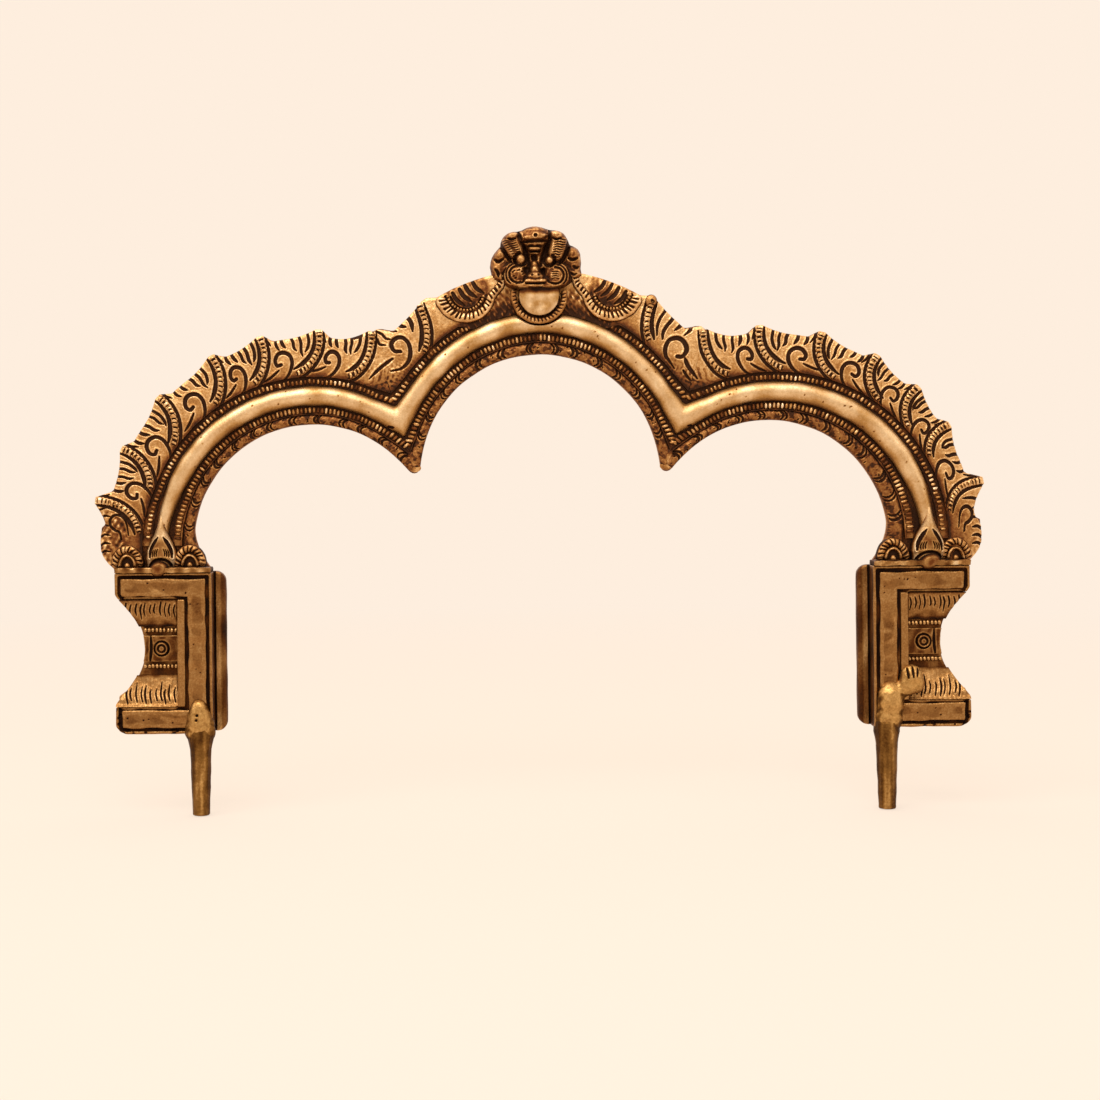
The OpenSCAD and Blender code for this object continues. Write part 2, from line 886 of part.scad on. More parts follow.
// A row of pearls on a fillet, above and below the waist panel
module waist_pearls() {
    fillet_h = 2 * pearl_r + 2 * pearl_margin;
    color(dark) for (z = [waist_top, waist_low - fillet_h]) {
        relief(panel_floor, panel_floor + waist_t) intersection() {
            translate([panel_x, z]) square([block_w, fillet_h]);
            block_outline(block_x);
        }
        for (x = [panel_x + pearl_r + pearl_margin:pearl_pitch:pearl_end])
            translate(at([x, z + fillet_h / 2], panel_floor + waist_t)) sphere(pearl_r, $fn = bead_fn);
    }
}

module left_waist_pearls() {
    on_left() waist_pearls();
}

module right_waist_pearls() {
    waist_pearls();
}

// The flat slab behind a block, showing along its inner side
module back_slab() {
    color(dark) relief(0, slab_t) difference() {
        block_outline(block_x - slab_in);
        for (z = [0, block_h])
            translate([block_x - slab_in + corner_r, z]) mirror([0, z > 0 ? 1 : 0]) difference() {
            translate([-corner_r - over, -over]) square([corner_r + over, corner_r + over]);
            translate([0, corner_r]) circle(corner_r);
        }
    }
}

module left_back_slab() {
    on_left() back_slab();
}

module right_back_slab() {
    back_slab();
}

// The ledge on top of a block, in front of the arch plate
module ledge() {
    color(bright) relief(plate_t, ledge_front) translate([block_x, block_h]) square([block_w, ledge_h]);
}

module left_ledge() {
    on_left() ledge();
}

module right_ledge() {
    ledge();
}

// A peg with a bevelled end and a round-topped tang
module peg() {
    color(field) translate([peg_x, 0, 0]) {
        rotate_extrude() polygon([[0, -peg_len], [peg_r - peg_bevel, -peg_len],
            [peg_r, peg_bevel - peg_len], [peg_r, 0], [0, 0]]);
        cylinder(r = tang_r, h = tang_h - tang_r);
        translate([0, 0, tang_h - tang_r]) sphere(tang_r);
    }
}

module left_peg() {
    on_left() peg();
}

module right_peg() {
    peg();
}

// The lump of braze over the tang, on the front of the block
module braze() {
    color(field) difference() {
        translate([peg_x, 0, 0]) {
            cylinder(r = braze_r, h = tang_h - tang_r);
            translate([0, 0, tang_h - tang_r]) sphere(braze_r);
        }
        translate([block_x - far, -tang_sink, -over]) cube([2 * far, far, far]);
        tang_seat(seat_gap);
    }
}

module left_braze() {
    on_left() braze();
}

module right_braze() {
    braze();
}

arch_plate();
left_petal_band();
crown_petal_band();
right_petal_band();
left_inner_beading();
crown_inner_beading();
right_inner_beading();
left_roll();
crown_roll();
right_roll();
left_outer_beading();
right_outer_beading();
crown_left_beading();
crown_right_beading();
left_flame_ribs();
right_flame_ribs();
mask_face();
mask_brows();
mask_eyes();
mask_ears();
pendant_disc();
pendant_rim();
left_garland();
right_garland();
left_lotus_bud();
right_lotus_bud();
left_outer_scroll();
left_inner_scroll();
right_inner_scroll();
right_outer_scroll();
left_ledge();
right_ledge();
left_back_slab();
right_back_slab();
left_block();
right_block();
left_frame_strip();
right_frame_strip();
left_upper_cove();
right_upper_cove();
left_lower_cove();
right_lower_cove();
left_waist_panel();
right_waist_panel();
left_waist_pearls();
right_waist_pearls();
left_peg();
right_peg();
left_braze();
right_braze();
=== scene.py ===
import json
import math

import bpy
import numpy as np
from mathutils import Matrix, Vector

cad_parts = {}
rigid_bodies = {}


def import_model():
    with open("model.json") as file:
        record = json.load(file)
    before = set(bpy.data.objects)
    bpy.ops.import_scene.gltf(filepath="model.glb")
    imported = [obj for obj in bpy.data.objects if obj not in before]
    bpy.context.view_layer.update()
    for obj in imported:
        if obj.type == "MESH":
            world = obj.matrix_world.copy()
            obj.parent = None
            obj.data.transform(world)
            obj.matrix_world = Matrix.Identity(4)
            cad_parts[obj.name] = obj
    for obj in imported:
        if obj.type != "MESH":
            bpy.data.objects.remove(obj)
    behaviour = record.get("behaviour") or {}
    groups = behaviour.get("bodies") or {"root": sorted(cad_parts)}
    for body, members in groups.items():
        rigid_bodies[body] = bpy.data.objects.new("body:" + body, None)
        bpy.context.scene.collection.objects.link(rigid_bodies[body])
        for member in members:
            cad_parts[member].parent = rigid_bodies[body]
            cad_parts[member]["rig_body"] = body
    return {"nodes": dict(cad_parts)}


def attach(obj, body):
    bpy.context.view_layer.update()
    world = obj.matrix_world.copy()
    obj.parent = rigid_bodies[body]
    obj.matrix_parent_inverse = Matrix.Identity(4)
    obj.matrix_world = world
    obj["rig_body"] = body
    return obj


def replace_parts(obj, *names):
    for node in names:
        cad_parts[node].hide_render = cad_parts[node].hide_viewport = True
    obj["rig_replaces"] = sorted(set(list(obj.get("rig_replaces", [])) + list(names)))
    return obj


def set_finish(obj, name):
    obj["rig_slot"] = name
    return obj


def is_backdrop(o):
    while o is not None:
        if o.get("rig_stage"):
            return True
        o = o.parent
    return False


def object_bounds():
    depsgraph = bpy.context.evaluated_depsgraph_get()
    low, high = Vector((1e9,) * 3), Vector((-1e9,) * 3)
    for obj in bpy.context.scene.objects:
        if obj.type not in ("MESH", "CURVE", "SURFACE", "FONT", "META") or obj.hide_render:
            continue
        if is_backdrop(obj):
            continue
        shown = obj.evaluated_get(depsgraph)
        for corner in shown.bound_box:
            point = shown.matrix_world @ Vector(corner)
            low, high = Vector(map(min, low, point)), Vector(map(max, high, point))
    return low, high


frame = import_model()
cadLow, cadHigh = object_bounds()
mm = 0.001

# the arch as the solids have it: all in millimetres, heights counted from the flat back
arch = {
    "lobe": (57.02, 46.5), "crown": (0.0, 63.5),
    "backY": 7.0, "plate": 3.0, "halfGap": 29.75, "mitre": -16.6,
    "petalIn": 30.0, "petalOut": 33.0, "rollIn": 35.5, "rollOut": 40.75, "field": 43.5,
    "flame": 51.75, "crownEdge": 51.25, "blockEnd": 106.02, "bulge": 1.5, "bulgeFall": (2.5, 7.5),
    "tips": {1: (15, 32, 45, 59, 75, 92, 107), -1: (12, 27, 44, 62, 76, 92, 106)},
    "crownTips": (41.5, 57.0), "firstRise": 4.0, "rise": 2.0, "joinRise": 3.5, "crownRise": 1.25,
    "tongueFlat": 0.8, "tongueClimb": 8.0, "tongueFall": 2.5,
}
bothSides = ((1, "right"), (-1, "left"))
mitreMid = ((arch["lobe"][0] + arch["crown"][0]) / 2, (arch["lobe"][1] + arch["crown"][1]) / 2)


# picking objects and going in and out of edit mode

def only(obj):
    if bpy.context.object and bpy.context.object.mode != "OBJECT":
        bpy.ops.object.mode_set(mode="OBJECT")
    bpy.ops.object.select_all(action="DESELECT")
    obj.select_set(True)
    bpy.context.view_layer.objects.active = obj
    return obj


def startEdit(obj):
    only(obj)
    bpy.ops.object.mode_set(mode="EDIT")
    bpy.ops.mesh.select_all(action="SELECT")


def endEdit():
    bpy.ops.object.mode_set(mode="OBJECT")


def applyAll(obj):
    only(obj)
    for name in [m.name for m in obj.modifiers]:
        bpy.ops.object.modifier_apply(modifier=name)


# points as x, height above the back, z in millimetres

def rawPoints(obj, kind="co"):
    flat = np.empty(len(obj.data.vertices) * 3)
    obj.data.vertices.foreach_get(kind, flat)
    return flat.reshape(-1, 3)


def readPoints(obj):
    p = rawPoints(obj) / mm
    p[:, 1] = arch["backY"] - p[:, 1]
    return p


def writePoints(obj, p):
    q = p.copy()
    q[:, 1] = arch["backY"] - q[:, 1]
    obj.data.vertices.foreach_set("co", (q * mm).ravel())
    obj.data.update()


def outward(obj):
    n = rawPoints(obj, "normal")
    n[:, 1] *= -1
    return n


def ease(low, high, value):
    t = np.clip((value - low) / (high - low), 0, 1)
    return t * t * (3 - 2 * t)


def fall(low, high, value):
    return 1 - ease(low, high, value)


# how far places lie on the lobe's side of the plane where lobe and crown meet, in mm
def mitreSide(x, z):
    up = math.radians(arch["mitre"])
    return (np.abs(x) - mitreMid[0]) * math.cos(up) + (z - mitreMid[1]) * math.sin(up)


# how far along a stretch of line places lie, and how far from it
def fromStretch(x, z, x0, z0, x1, z1):
    run = (x1 - x0) ** 2 + (z1 - z0) ** 2 + 1e-9
    t = np.clip(((x - x0) * (x1 - x0) + (z - z0) * (z1 - z0)) / run, 0, 1)
    return t, np.hypot(x - x0 - t * (x1 - x0), z - z0 - t * (z1 - z0))


# slow hand-made unevenness: a few crossing waves about size mm long, mostly between -1 and 1
waveLook = {"count": 8, "lengths": (0.7, 1.7), "fullTurn": 6.283, "calm": 4}


def uneven(x, z, size, seed):
    rng, whole = np.random.default_rng(seed), waveLook["fullTurn"]
    total = np.zeros(len(x))
    for k in range(waveLook["count"]):
        turn = rng.uniform(0, whole)
        wave = size * rng.uniform(*waveLook["lengths"])
        start = rng.uniform(0, whole)
        total += np.sin((x * math.cos(turn) + z * math.sin(turn)) * whole / wave + start)
    return total / waveLook["calm"]


def patchy(p, size, seed):
    return uneven(p[:, 0], p[:, 2], size, seed)


# dirt and wear laid on each point, and on some pieces painted shade and painted highlights too: 1 is black, 0
# plain and below 0 rubbed or painted bright
patinaAndShadeRange = (-0.35, 1)


def stainAndShade(obj, values):
    layer = obj.data.attributes.get("patinaAndShade") or obj.data.attributes.new("patinaAndShade", "FLOAT", "POINT")
    layer.data.foreach_set("value", np.clip(values, *patinaAndShadeRange).astype(np.float32))


# how far each point lies below its surroundings, in mm, for dirt that gathers in hollows
def hollows(obj, rounds):
    p, n = readPoints(obj), outward(obj)
    ends = np.empty(len(obj.data.edges) * 2, np.int32)
    obj.data.edges.foreach_get("vertices", ends)
    a, b = ends[0::2], ends[1::2]
    count = np.maximum(np.bincount(a, minlength=len(p)) + np.bincount(b, minlength=len(p)), 1)
    soft = p.copy()
    for step in range(rounds):
        for k in range(3):
            s = np.bincount(a, soft[b, k], len(p)) + np.bincount(b, soft[a, k], len(p))
            soft[:, k] = s / count
    return ((soft - p) * n).sum(1)


# chisel strokes: each path is a list of x, z, width; the metal is pressed in along it and swells beside it
chiselLook = {"burrAt": 0.12, "burrWide": 0.16, "overEdge": 0.05, "ink": 0.97, "inkWide": 0.1,
              "hazeInk": 0.22, "even": 0.84, "patchy": 0.16, "patch": 3.5, "far": 99.0}


def chisel(p, paths, depth, edge=0.14, haze=0.5, lip=0.0):
    press, soot, burr = np.zeros(len(p)), np.zeros(len(p)), np.zeros(len(p))
    for path in paths:
        path = np.asarray(path, float)
        reach = path[:, 2].max() / 2 + haze * 2
        near = np.where((p[:, 0] > path[:, 0].min() - reach) & (p[:, 0] < path[:, 0].max() + reach)
                        & (p[:, 2] > path[:, 1].min() - reach) & (p[:, 2] < path[:, 1].max() + reach))[0]
        if not len(near):
            continue
        x, z = p[near, 0], p[near, 2]
        gap = np.full(len(near), chiselLook["far"])
        for (x0, z0, w0), (x1, z1, w1) in zip(path[:-1], path[1:]):
            t, d = fromStretch(x, z, x0, z0, x1, z1)
            gap = np.minimum(gap, d - (w0 + t * (w1 - w0)) / 2)
        press[near] = np.maximum(press[near], fall(-edge, edge, gap))
        swell = np.exp(-((gap - edge - chiselLook["burrAt"]) / chiselLook["burrWide"]) ** 2)
        burr[near] = np.maximum(burr[near], swell)
        edgeGap = np.maximum(gap + chiselLook["overEdge"], 0)
        ink = chiselLook["ink"] * np.exp(-(edgeGap / chiselLook["inkWide"]) ** 2)
        soot[near] = np.maximum(soot[near], ink + chiselLook["hazeInk"] * np.exp(-edgeGap * 2 / haze))
    p[:, 1] += lip * burr * (1 - press) - depth * press
    return soot * (chiselLook["even"] + chiselLook["patchy"] * patchy(p, chiselLook["patch"], 5))


# a curve through the points, as x, z and a width that tapers at both ends
def smoothLine(points, width, steps=6, tipStart=0.5, tipEnd=0.35):
    pts = np.asarray(points, float)
    pad = np.vstack([2 * pts[0] - pts[1], pts, 2 * pts[-1] - pts[-2]])
    line = []
    for i in range(1, len(pad) - 2):
        for k in range(steps):
            t = k / steps
            a, b, c, d = pad[i - 1], pad[i], pad[i + 1], pad[i + 2]
            line.append(0.5 * (2 * b + (c - a) * t + (2 * a - 5 * b + 4 * c - d) * t * t
                               + (3 * b - a - 3 * c + d) * t ** 3))
    line.append(pts[-1])
    out, startShare, endShare = [], 0.2, 0.3
    for i, q in enumerate(line):
        s = i / (len(line) - 1)
        begin = tipStart + (1 - tipStart) * s / startShare
        close = tipEnd + (1 - tipEnd) * (1 - s) / endShare
        swell = min(1.0, begin, close)
        out.append((q[0], q[1], width * swell))
    return out


# places round a lobe: a in degrees up from the outward side, r from the lobe's centre

def polar(centre, r, a, hand=1):
    return hand * (centre[0] + r * np.cos(np.radians(a))), centre[1] + r * np.sin(np.radians(a))


def lobeEnd(r):
    return 180 + arch["mitre"] - np.degrees(np.arccos(arch["halfGap"] / r))


def crownStart(r):
    return arch["mitre"] + np.degrees(np.arccos(arch["halfGap"] / r))


# a flame tongue by degrees from its tip: a slow climb, a flat tip and a quick drop
def tongue(d):
    flat = arch["tongueFlat"]
    climb = np.clip(1 + (d + flat) / arch["tongueClimb"], 0, 1) ** 2
    drop = np.clip(1 - (d - flat) / arch["tongueFall"], 0, 1)
    return np.where(d < -flat, climb, np.where(d > flat, drop, 1.0))


def sideEdge(a, hand):
    tips = arch["tips"][hand]
    rises = [arch["firstRise"]] + [arch["rise"]] * (len(tips) - 2) + [arch["joinRise"]]
    tall = np.max([h * tongue(a - t) for h, t in zip(rises, tips)], axis=0)
    return arch["flame"] + np.maximum(arch["bulge"] * fall(*arch["bulgeFall"], a), tall)


def crownEdge(a):
    a = np.minimum(a, 180 - a)
    return arch["crownEdge"] + np.maximum(arch["joinRise"] * tongue(a - arch["crownTips"][0]),
                                          arch["crownRise"] * tongue(a - arch["crownTips"][1]))


# making, copying and finishing pieces: first one skin over a piece, smoothed as a casting is
def castSkin(obj, voxel, rounds):
    remesh = obj.modifiers.new("cast", "REMESH")
    remesh.mode, remesh.voxel_size = "VOXEL", voxel * mm
    soften = obj.modifiers.new("worn", "SMOOTH")
    soften.factor, soften.iterations = 0.5, rounds
    applyAll(obj)
    return obj


def solidCopy(node, name, voxel, rounds=3):
    obj = bpy.data.objects.new(name, frame["nodes"][node].data.copy())
    bpy.context.scene.collection.objects.link(obj)
    startEdit(obj)
    bpy.ops.mesh.remove_doubles(threshold=0.002 * mm)
    endEdit()
    return castSkin(obj, voxel, rounds) if voxel else obj


# pushes a skin in and out unevenly
def dent(obj, depth, size, seed):
    p, n = readPoints(obj), outward(obj)
    p += n * (depth * uneven(p[:, 0] + 0.7 * p[:, 1], p[:, 2] - 0.6 * p[:, 1], size, seed))[:, None]
    writePoints(obj, p)


# holds a piece inside the box of the solids
def keepInside(obj):
    spare = 0.01 * mm
    held = np.clip(rawPoints(obj), np.array(cadLow) + spare, np.array(cadHigh) - spare)
    obj.data.vertices.foreach_set("co", held.ravel())
    obj.data.update()


# the maker's hand: how far the mouldings stray from true circles, in mm outward, by angle up each lobe
strayLook = {
    1: ((-10, 1.3), (8, 1.3), (20, 1.1), (50, 0.3), (86, -0.9), (116, -1.4), (150, -1.5)),
    -1: ((-10, -0.4), (8, -0.5), (20, -1.0), (60, -1.15), (100, -1.0), (130, -1.3), (150, -1.4)),
    0: ((0, -1.4), (45, -1.3), (72, -0.6), (90, -0.2), (108, -0.6), (135, -1.2), (180, -1.3)),
    "share": ((29.9, 0), (33.0, 0.65), (35.5, 0.85), (38.0, 1.0), (40.75, 1.2), (43.5, 1.25), (47.0, 0.6),
              (51.0, 0)),
    "meet": (-4.0, 4.0), "foot": (38.0, 43.0),
}


def stray(p):
    x, z = p[:, 0], p[:, 2]
    lobe = ease(*strayLook["meet"], mitreSide(x, z))
    moved = np.zeros((len(p), 2))
    for hand in (1, -1, 0):
        cx, cz = (hand * arch["lobe"][0], arch["lobe"][1]) if hand else arch["crown"]
        out = (x - cx) * (hand or 1)
        lift = np.maximum(z - cz, 0) if hand else z - cz
        r, a = np.hypot(out, lift), np.degrees(np.arctan2(lift, out))
        size = np.interp(a, *zip(*strayLook[hand])) * np.interp(r, *zip(*strayLook["share"]))
        if hand:
            weight = lobe * (x * hand > 0) * ease(*strayLook["foot"], z)
        else:
            weight = 1 - lobe
        r = np.maximum(r, 1.0)
        moved[:, 0] += weight * size * out / r * (hand or 1)
        moved[:, 1] += weight * size * lift / r
    q = p.copy()
    q[:, 0] += moved[:, 0]
    q[:, 2] += moved[:, 1]
    return q


def finish(obj, name, material, slotName, nodes=(), angle=50, strays=False):
    only(obj)
    bpy.ops.object.transform_apply(location=True, rotation=True, scale=True)
    obj.name = obj.data.name = name
    if strays:
        writePoints(obj, stray(readPoints(obj)))
    keepInside(obj)
    if not obj.data.attributes.get("patinaAndShade"):
        stainAndShade(obj, np.zeros(len(obj.data.vertices)))
    obj.data.materials.clear()
    obj.data.materials.append(material)
    bpy.ops.object.shade_smooth_by_angle(angle=math.radians(angle))
    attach(obj, "root")
    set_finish(obj, slotName)
    if nodes:
        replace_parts(obj, *nodes)
    return obj


# turns a piece of the right side into one of the left
def flipped(obj):
    only(obj)
    obj.scale.x = -1
    bpy.ops.object.transform_apply(location=True, rotation=True, scale=True)
    startEdit(obj)
    bpy.ops.mesh.normals_make_consistent(inside=False)
    endEdit()
    return obj


def mirrorCopy(obj):
    only(obj)
    bpy.ops.object.duplicate()
    twin = bpy.context.object
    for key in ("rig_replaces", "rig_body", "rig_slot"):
        if key in twin:
            del twin[key]
    return flipped(twin)


def onSide(obj, hand):
    return obj if hand > 0 else flipped(obj)


def joinAll(objs):
    only(objs[0])
    for o in objs:
        o.select_set(True)
    bpy.ops.object.join()
    return bpy.context.object


# a fine grid laid out by a rule for its points, then closed by a wall and a flat back
def carvedSheet(place, along, across, floor, wear=0.0):
    bpy.ops.object.select_all(action="DESELECT")
    bpy.ops.mesh.primitive_grid_add(x_subdivisions=along, y_subdivisions=across, size=1)
    obj = bpy.context.object
    uv = rawPoints(obj)
    p, darkness = place(uv[:, 0] + 0.5, uv[:, 1] + 0.5)
    writePoints(obj, p)
    # what stands out is rubbed bright, what lies low is not
    if wear:
        low = hollows(obj, 5) * np.sign(outward(obj)[:, 1].mean())
        darkness = darkness - wear * ease(0.004, 0.05, -low) + 0.5 * wear * ease(0.01, 0.06, low)
    stainAndShade(obj, darkness)
    startEdit(obj)
    bpy.ops.mesh.region_to_loop()
    bpy.ops.mesh.extrude_edges_move(TRANSFORM_OT_translate={"value": (0, 0.2 * mm, 0)})
    bpy.ops.transform.resize(value=(1, 0, 1), center_override=(0, (arch["backY"] - floor) * mm, 0))
    bpy.ops.mesh.edge_face_add()
    bpy.ops.mesh.select_all(action="SELECT")
    bpy.ops.mesh.normals_make_consistent(inside=False)
    endEdit()
    return obj


# a raised band along a line, cut across like a cord
def ribbon(line, look):
    step = np.gradient(line, axis=0)
    step /= np.linalg.norm(step, axis=1)[:, None]
    run = np.concatenate([[0], np.cumsum(np.linalg.norm(np.diff(line, axis=0), axis=1))])

    def place(u, v):
        s, side = u * run[-1], 2 * v - 1
        half = (look["root"] + (look["tip"] - look["root"]) * u) / 2
        left = np.clip(np.minimum(s, run[-1] - s) / half, 0, 1)
        blunt = np.sqrt(np.clip(left * (2 - left), 0, 1))
        half = half * np.maximum(blunt, 0.08)
        h = look["h"] + look["tall"] * np.sqrt(np.clip(1 - 0.92 * side ** 2, 0, 1)) * (0.5 + 0.5 * blunt)
        x = np.interp(s, run, line[:, 0]) - np.interp(s, run, step[:, 1]) * side * half
        z = np.interp(s, run, line[:, 1]) + np.interp(s, run, step[:, 0]) * side * half
        h = h + look["lift"](x, z) if "lift" in look else h
        phase = s / look["pitch"] + look["bow"] * side ** 2 + look.get("slant", 0.0) * side
        phase = phase + 0.1 * np.sin(s * 2.1) + 0.07 * np.sin(s * 5.3 + 1)      # no two cuts are quite alike
        gap = np.abs(phase - np.floor(phase) - 0.5) * look["pitch"]
        rimmed = ease(*look["rim"], side) if "rim" in look else 1.0
        press = fall(0.04, look["wide"], gap) * ease(0.0, 0.7, left) * rimmed
        h = h - look["cut"] * press + 0.04 * uneven(x, z, 2.2, 7)
        darkness = np.maximum(look["ink"] * press, 0.9 * ease(0.74, 1.0, np.abs(side))) + 0.1 * uneven(x, z, 3, 8)
        return np.column_stack([x, h, z]), darkness + look["age"]
    return carvedSheet(place, max(12, int(run[-1] / look["grid"])), 16, 2.7)


# materials
dirtLook = {"tones": ((0.2, "gold"), (0.42, "mid"), (0.7, "brown")), "rough": 0.62, "covers": 0.55,
            "metal": 0.7}


def linear(code):
    parts = [int(code[i:i + 2], 16) / 255 for i in (1, 3, 5)]
    return tuple(c / 12.92 if c <= 0.04045 else ((c + 0.055) / 1.055) ** 2.4 for c in parts) + (1.0,)


def addNode(tree, kind, settings=None, links=None):
    node = tree.nodes.new(kind)
    for key, value in (settings or {}).items():
        if isinstance(key, int) or key in node.inputs:
            node.inputs[key].default_value = value
        else:
            setattr(node, key, value)
    for key, source in (links or {}).items():
        tree.links.new(source, node.inputs[key])
    return node


def mathNode(tree, operation, *terms):
    node = addNode(tree, "ShaderNodeMath", {"operation": operation})
    for i, term in enumerate(terms):
        if isinstance(term, float):
            node.inputs[i].default_value = term
        else:
            tree.links.new(term, node.inputs[i])
    return node.outputs[0]


def mapped(tree, value, start, end):
    limits = {"From Min": start[0], "From Max": start[1], "To Min": end[0], "To Max": end[1]}
    return addNode(tree, "ShaderNodeMapRange", limits, {"Value": value}).outputs[0]


# look: five colours from bright to black, sizes in mm of the marks and how strong they are
def makeBrass(name, look):
    mat = bpy.data.materials.new(name)
    mat.use_nodes = True
    tree = mat.node_tree
    shader = tree.nodes["Principled BSDF"]
    place = addNode(tree, "ShaderNodeTexCoord").outputs["Object"]
    patinaAndShade = addNode(tree, "ShaderNodeAttribute", {"attribute_name": "patinaAndShade"}).outputs["Fac"]

    def noise(sizeMm, detail, harsh=0.6, vector=place):
        settings = {"Scale": 1000 / sizeMm, "Detail": detail, "Roughness": harsh}
        return addNode(tree, "ShaderNodeTexNoise", settings, {"Vector": vector}).outputs["Fac"]

    def blend(source, gain, other):
        return mathNode(tree, "MULTIPLY_ADD", source, gain, other)
    # cloudy tarnish, then fine specks, on top of the dirt, wear and painted shade laid on each piece
    plain = look["age"] - 0.5 * look["blotch"] - 0.5 * look["speck"]
    cloud = blend(noise(look["blotchMm"], 4.0), look["blotch"], plain)
    cloud = blend(noise(look["speckMm"], 3.0, 0.75), look["speck"], cloud)
    darkness = addNode(tree, "ShaderNodeMath", {"operation": "ADD", "use_clamp": True},
                   {0: patinaAndShade, 1: cloud}).outputs[0]
    ramp = addNode(tree, "ShaderNodeValToRGB", None, {"Fac": darkness})
    stops = ramp.color_ramp.elements
    stops[0].position, stops[0].color = 0.0, linear(look["bright"])
    stops[1].position, stops[1].color = 1.0, linear(look["black"])
    for spot, tone in dirtLook["tones"]:
        stop = stops.new(spot)
        stop.color = linear(look[tone])
    tree.links.new(ramp.outputs["Color"], shader.inputs["Base Color"])
    grain = noise(look["grainMm"], 3.0)
    rough = mapped(tree, darkness, (0, 1), (look["rough"], dirtLook["rough"]))
    rough = blend(grain, 0.16, blend(rough, 1.0, -0.06))
    tree.links.new(rough, shader.inputs["Roughness"])
    metal = mapped(tree, darkness, (dirtLook["covers"], 1), (1.0, dirtLook["metal"]))
    tree.links.new(metal, shader.inputs["Metallic"])
    shader.inputs["Specular IOR Level"].default_value = 0.15
    # a grainy cast skin, slow hammering and faint slanting file marks
    turned = addNode(tree, "ShaderNodeMapping", {"Rotation": (0, math.radians(35), 0), "Scale": (1, 1, 0.12)},
                     {"Vector": place}).outputs[0]
    height = blend(noise(look["fileMm"], 2.0, 0.5, turned), look["file"], grain)
    height = blend(noise(look["hammerMm"], 2.0), look["hammer"], height)
    bump = addNode(tree, "ShaderNodeBump", {"Strength": look["bump"], "Distance": 0.1 * mm},
                   {"Height": height})
    tree.links.new(bump.outputs["Normal"], shader.inputs["Normal"])
    return mat


# cast brass, worn by rubbing: warm gold on what stands out, red-brown haze to black in what doesn't
fieldBrass = makeBrass("castBrassRubbed", {
    "bright": "#FAE3BF", "gold": "#DEB47D", "mid": "#AE7D46", "brown": "#724221", "black": "#362013",
    "blotchMm": 3.0, "blotch": 0.42, "age": 0.31, "speckMm": 0.6, "speck": 0.6, "grainMm": 0.5, "rough": 0.34,
    "fileMm": 0.35, "file": 0.5, "hammerMm": 1.6, "hammer": 1.2, "bump": 0.95})
# brass burnished by handling: satin highlights with faint file marks and a little speckle
rollBrass = makeBrass("castBrassBurnished", {
    "bright": "#F9E4BF", "gold": "#DDBC8F", "mid": "#B2864E", "brown": "#6C3C1A", "black": "#25130A",
    "blotchMm": 4.0, "blotch": 0.26, "age": 0.2, "speckMm": 0.6, "speck": 0.3, "grainMm": 0.5, "rough": 0.38,
    "fileMm": 0.4, "file": 0.8, "hammerMm": 2.4, "hammer": 1.4, "bump": 0.32})
# brass browned by age: dull brown-gold flats with lighter edges
blockBrass = makeBrass("castBrassBrowned", {
    "bright": "#F8DAAE", "gold": "#C89E67", "mid": "#936839", "brown": "#573012", "black": "#221108",
    "blotchMm": 2.2, "blotch": 0.24, "age": 0.4, "speckMm": 0.5, "speck": 0.44, "grainMm": 0.5, "rough": 0.25,
    "fileMm": 0.5, "file": 0.8, "hammerMm": 2.4, "hammer": 1.4, "bump": 0.6})
# filed brass rod and braze: dull yellow-brown with long file marks
pegBrass = makeBrass("filedBrassRod", {
    "bright": "#F2D6A6", "gold": "#C69A5C", "mid": "#8A6230", "brown": "#543413", "black": "#22130A",
    "blotchMm": 2.4, "blotch": 0.3, "age": 0.28, "speckMm": 0.6, "speck": 0.36, "grainMm": 0.45,
    "rough": 0.34, "fileMm": 0.5, "file": 1.2, "hammerMm": 1.8, "hammer": 1.4, "bump": 0.45})
print("materials ready")


# the plate behind everything: the solid's own outline, softened as a casting is
plateLook = {"voxel": 0.55, "dent": 0.07, "wave": 9.0, "keep": 0.88, "backPart": 1.5}
plate = solidCopy("arch_plate", "archPlate", plateLook["voxel"], 2)
dent(plate, plateLook["dent"], plateLook["wave"], 3)
p = readPoints(plate)
# room for the carved field in front
p[:, 1] *= np.where(p[:, 1] > plateLook["backPart"], plateLook["keep"], 1.0)
writePoints(plate, p)
stainAndShade(plate, 0.25 + 0.35 * ease(1.6, 2.6, p[:, 1]) + 0.12 * patchy(p, 14, 5))
finish(plate, "archPlate", fieldBrass, "aged_brass", ["arch_plate"], strays=True)
print("plate ready")

